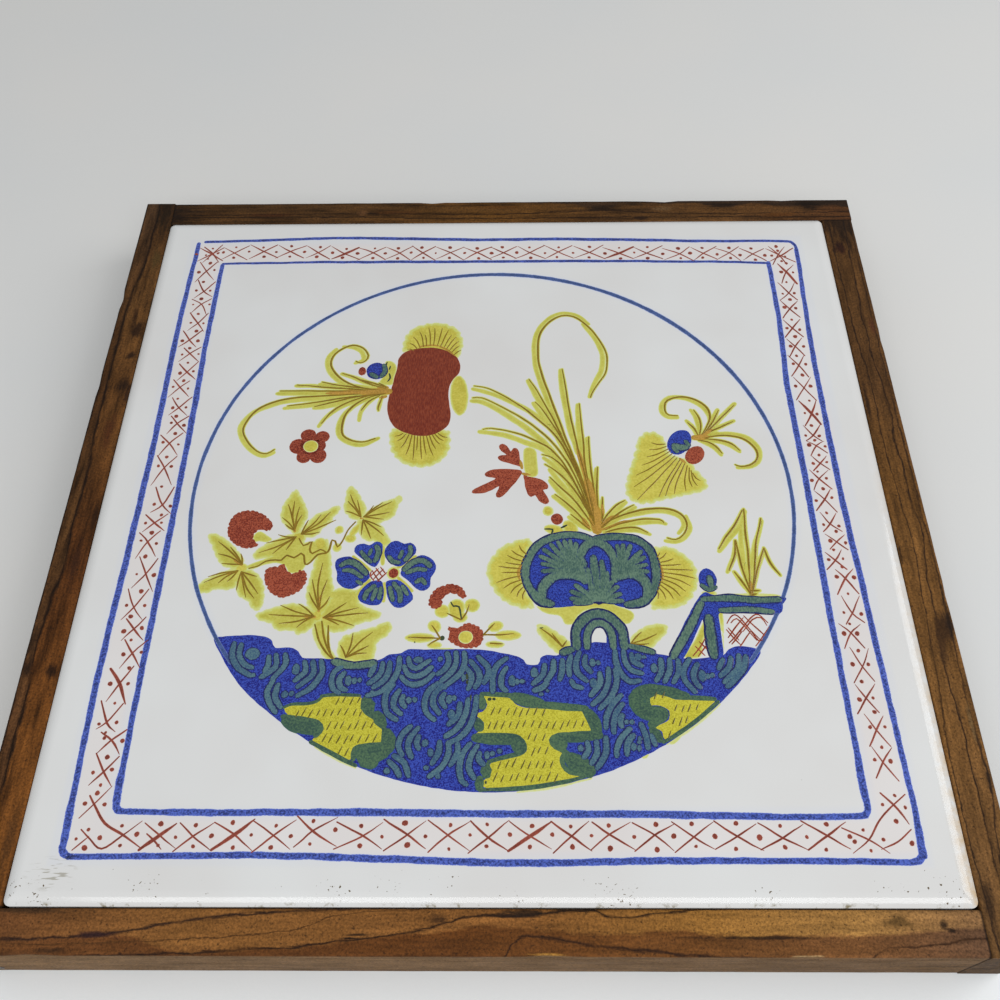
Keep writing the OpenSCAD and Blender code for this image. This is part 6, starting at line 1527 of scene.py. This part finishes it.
# Widths in mm of the front, left, right and back lines, and the sides whose tone differs from the rest
OUTER_WIDTHS = (1.8, 1.9, 1.8, 1.5)
INNER_WIDTHS = (1.9, 1.9, 1.9, 1.3)
LINE_TONES = {"front": 0.0, "back": -0.8}
LINE_TONE = -0.2
lines = Coat(BODY_H)
for table, widths in ((OUTER_LINE, OUTER_WIDTHS), (INNER_LINE, INNER_WIDTHS)):
    for (side, places), width in zip(table.items(), widths):
        line = unsteady(curve_through(millimetres(places)), 0.15 * MM, 5 * MM, width)
        lines.stroke(line, width * MM, tips=(0.8, 0.8), tone=LINE_TONES.get(side, LINE_TONE))
for places in LINE_ENDS:
    lines.stroke(unsteady(curve_through(millimetres(places)), 0.15 * MM, 5 * MM), 2.0 * MM,
                 tips=(0.5, 0.5), tone=LINE_TONE)
lines.finish("border_lines", line_blue, ["blue_lines"])

# The ring runs from where it meets the ground at the right round to the left, more thickly over the top
RING_FROM, RING_TURN, RING_STEPS = -38, 256, 260
THICK_STEPS = slice(36, 174)
ring = Coat(BODY_H)
ring_line = [Vector((RING_SHIFT + RING_R * math.cos(a), RING_LIFT + RING_R * math.sin(a)))
             for a in (math.radians(RING_FROM + RING_TURN * k / RING_STEPS) for k in range(RING_STEPS + 1))]
ring.stroke(unsteady(ring_line, 0.12 * MM, 9 * MM), 1.4 * MM, tips=(0.9, 0.9), tone=0.0)
ring.stroke(ring_line[THICK_STEPS], 1.75 * MM, tips=(0.7, 0.7), tone=-0.4)
ring.finish("ring_line", ring_blue, ["blue_lines"])


# Lattice of the border

def lattice_dot(coat, spot):
    radius = chance.uniform(0.42, 0.7) * MM
    circle = [spot + Vector((math.cos(k * math.pi / 4), math.sin(k * math.pi / 4))) * radius
              for k in range(8)]
    coat.area(unsteady(circle, 0.16 * MM, 1 * MM), 0.3 * MM, chance.uniform(-1, 1))


def lattice_run(coat, turns, half, crosses):
    """Crossing strokes at each place along one side of the border, with a dot in each gap."""
    turn = Matrix.Rotation(turns * math.pi / 2, 2)
    ends = [1.5 * crosses[0][0] - 0.5 * crosses[1][0]] + [
        (a[0] + b[0]) / 2 for a, b in zip(crosses, crosses[1:])]
    ends.append(1.5 * crosses[-1][0] - 0.5 * crosses[-2][0])
    for (x, y), left, right in zip(crosses, ends, ends[1:]):
        for way in (-1, 1):
            start = Vector((left + chance.uniform(-0.5, 0.5), y - way * half * chance.uniform(0.8, 1.1)))
            end = Vector((right + chance.uniform(-0.5, 0.5), y + way * half * chance.uniform(0.8, 1.1)))
            middle = Vector((x + chance.uniform(-0.25, 0.25), y + chance.uniform(-0.25, 0.25)))
            width = 1.0 if (turns, x) in BOLD_CROSSES and way > 0 else chance.uniform(0.45, 0.62)
            line = curve_through([turn @ (spot * MM) for spot in (start, middle, end)], step=1.5 * MM)
            coat.stroke(unsteady(line, 0.12 * MM, 3 * MM, x), width * MM, tips=(0.7, 0.35))
        for dot_x, dot_y in [(x, y + half * 0.75), (x, y - half * 0.75), (right, y)]:
            shifted = Vector((dot_x + chance.uniform(-0.5, 0.5), dot_y + chance.uniform(-0.4, 0.4)))
            lattice_dot(coat, turn @ shifted * MM)


lattice = Coat(BODY_H)
for turns, (half, crosses) in enumerate(LATTICE):
    lattice_run(lattice, turns, half, crosses)
for width, places in CORNER_STROKES:
    lattice.stroke(curve_through(millimetres(places)), width * MM, tips=(0.7, 0.4))
for spot in millimetres(CORNER_DOTS):
    lattice_dot(lattice, spot)
lattice.finish("lattice_strokes", lattice_red, ["red_lattice"])


# Yellow-green washes

fans = Coat(WASH_H)
fans.areas(FANS, 2.6, pitch=3.4, depth=0.7, grow=0.7)
fans.spots(WASH_SPOTS, rim=1.2)
fans.finish("fan_washes", fan_yellow, ["yellow_leaves"])

leaves = Coat(WASH_H)
leaves.areas(LEAVES, 2.2, pitch=2.8, depth=0.4, grow=0.7)
leaves.areas(PATCHES, 0.9)
leaves.finish("leaf_washes", wash_yellow, ["yellow_leaves"])

washes = Coat(WASH_H)
washes.wide_strokes(WASH_STROKES, wider=0.2, tips=(0.8, 0.75))
washes.strokes(SPILT_WASHES, 1.5, strength=0.5)
washes.strokes(FEATHER_STROKES, 1.8, tips=(0.8, 0.8))
washes.strokes(SCROLL_STROKES, 1.7, tips=(0.8, 0.8))
washes.strokes(GRASS_STROKES, 2.2, tips=(0.8, 0.8))
washes.finish("feather_washes", wash_yellow, ["yellow_leaves"])


# Blue ground with its whorls, islands and banks

def ring_arc(first, last, count):
    """Places along the inside of the ring, in hundredths of its radius, bulging a little at the left."""
    places = []
    for k in range(count + 1):
        degrees = first + (last - first) * k / count
        a, bulge = math.radians(degrees), 1 + 0.009 * math.exp(-((degrees + 137) / 7) ** 2)
        places.append((100.2 * bulge * math.cos(a), 100.6 * bulge * math.sin(a) - 0.4))
    return places


ground = Coat(GROUND_H)
ground.outline(GROUND + ring_arc(-36.4, -146.4, 60), 0.5, tone=0.0)
ground.finish("cobalt_ground", ground_blue, ["blue_ground"])

islands = Coat(BODY_H)
islands.areas(ISLANDS, 0.5)
islands.finish("islands", island_yellow, ["yellow_islands"])

banks = Coat(BANK_H)
banks.wide_strokes(BANKS, tips=(0.8, 0.8))
banks.finish("bank_strokes", bank_green, ["green_banks"])

whorls = Coat(TEAL_H)
whorls.strokes(WHORL_STROKES, 2.6, tips=(0.85, 0.85))
whorls.spots(PEBBLES, wider=0.3, rim=0.7)
whorls.finish("whorl_strokes", whorl_teal, ["teal_strokes"])


# Blooms

bean = Coat(BODY_H)
bean.areas([BEAN], 0.6)
bean.finish("long_red_bloom", bean_red, ["red_blooms"])

reds = Coat(BODY_H)
reds.areas(TULIP, 0.45)
reds.areas(CARNATIONS, 0.45, pitch=1.7, depth=0.45)
reds.spots(STAR_PETALS, rim=0.5, tone=-1.0)
reds.spots(RED_SPOTS, rim=0.5)
reds.strokes(NETS, 0.55, tips=(0.7, 0.6))
reds.finish("small_red_blooms", petal_red, ["red_blooms"])

hearts = Coat(TEAL_H)
hearts.spots([(-62.2, 18.2, 2.7, 2.6), (-7.5, -53.4, 2.3, 2.3)], rim=0.7)
hearts.finish("red_bloom_hearts", fan_yellow, ["yellow_leaves"])

blues = Coat(BODY_H)
blues.areas([BLOOM] + BLUE_PETALS + BLUE_AREAS, 0.6)
blues.spots(BLUE_SPOTS)
blues.finish("blue_blooms_painted", petal_blue, ["blue_blooms"])

teals = Coat(TEAL_H)
teals.wide_strokes(BLOOM_STROKES + TEAL_STROKES, scale=1.6, tips=(0.85, 0.85))
for middle, start, tips in PALMETTES:
    hub = Vector(middle)
    for tip in tips:
        first = hub + (Vector(tip) - hub) * start
        teals.strokes([[tuple(first), tuple((first + Vector(tip)) / 2), tip]], 2.4, tips=(0.6, 0.95))
teals.finish("bloom_strokes", teal, ["teal_strokes"])


# Brown strokes

ochres = Coat(STEM_H)
ochres.wide_strokes(OCHRE_STEMS, tips=(0.8, 0.3))
ochres.finish("ochre_stems", stem_ochre, ["brown_strokes"])

hubs = Coat(TEAL_H)
hubs.wide_strokes(OCHRE_HUBS, tips=(0.8, 0.4))
hubs.finish("ochre_hubs", stem_ochre, ["brown_strokes"])

feathers = Coat(PEN_H)
feathers.strokes(FEATHER_STROKES, 0.74, tips=(0.55, 0.6))
feathers.strokes(SCROLL_STROKES, 0.86, tips=(0.6, 0.6))
feathers.finish("feather_strokes", stroke_brown, ["brown_strokes"])

stems = Coat(PEN_H)
stems.strokes(VINES, 0.78, tips=(0.7, 0.7))
stems.strokes(GRASS_STROKES, 0.8, tips=(0.7, 0.6))
stems.finish("vine_and_grass_strokes", stroke_brown, ["brown_strokes"])

rays = Coat(PEN_H)
for start, tips in LEAF_RAYS:
    for tip in tips:
        bend = Vector(tip) - Vector(start)
        middle = Vector(start) + bend * 0.55 + Vector((-bend.y, bend.x)) * chance.uniform(-0.07, 0.07)
        rays.strokes([[start, tuple(middle), tip]], 0.66, tips=(0.9, 0.4))
for start_line, tips in FAN_RAYS:
    base = curve_through([Vector(place) for place in start_line], step=0.1)
    for i, tip in enumerate(tips):
        start = base[round((len(base) - 1) * (i + 0.5) / len(tips))]
        outwards = base[0] + base[-1] - 2 * base[len(base) // 2]
        middle = (start + Vector(tip)) / 2 - outwards.normalized() * 0.12 * (Vector(tip) - start).length
        rays.strokes([[tuple(start), tuple(middle), tip]], 0.56, tips=(0.8, 0.45))
rays.finish("leaf_and_fan_rays", stroke_brown, ["brown_strokes"])


# Dark marks: short strokes, specks, and the slanted dashes on the islands

marks = Coat(PEN_H)
marks.wide_strokes(DARK_STROKES, tips=(0.7, 0.6))
marks.spots(DARK_SPOTS, rim=0.3)
marks.finish("dark_marks", mark_dark)

# Dashes: steps along a row and from row to row, half of one dash, and how far they keep from the rim
DASH_STEP, DASH_ROW = 2.1, 3.9
DASH_HALF = Vector((0.5, 1.15))
DASH_CLEAR = 0.85
dashes = Coat(PEN_H)
for island in ISLANDS:
    line = curve_through([Vector(place) for place in island], True, 1.0)
    edge = Rim(line)
    low_x, high_x = min(s.x for s in line), max(s.x for s in line)
    row, y = 0, max(s.y for s in line) - 1.4
    while y > min(s.y for s in line):
        x = low_x + 1 + (row % 2) * DASH_STEP / 2
        while x < high_x:
            spot = Vector((x + chance.uniform(-0.3, 0.3), y + chance.uniform(-0.4, 0.4)))
            if is_inside(spot, line) and edge.distance(spot) > DASH_CLEAR:
                half = DASH_HALF * chance.uniform(0.7, 1.1)
                dashes.strokes([[tuple(spot - half), tuple(spot + half)]], 0.58, tips=(0.8, 0.5))
            x += DASH_STEP
        y -= DASH_ROW
        row += 1
dashes.finish("island_dashes", dash_olive)


# Hidden pieces keep their solids and get their finishes

def finish_node(name, material):
    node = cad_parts[name]
    node.data.materials.clear()
    node.data.materials.append(material)


finish_node("base_panel", plain("hardboard_panel", "#6A4A30", "#553A25", 0.8 * MM, 0.8))
finish_node("tile_adhesive", plain("tile_adhesive", "#C9C4B6", "#B8B2A2", 1.5 * MM, 0.9))
finish_node("corner_brads", plain("oxidised_steel", "#6B6460", "#4A423C", 0.6 * MM, 0.5, metallic=0.8))
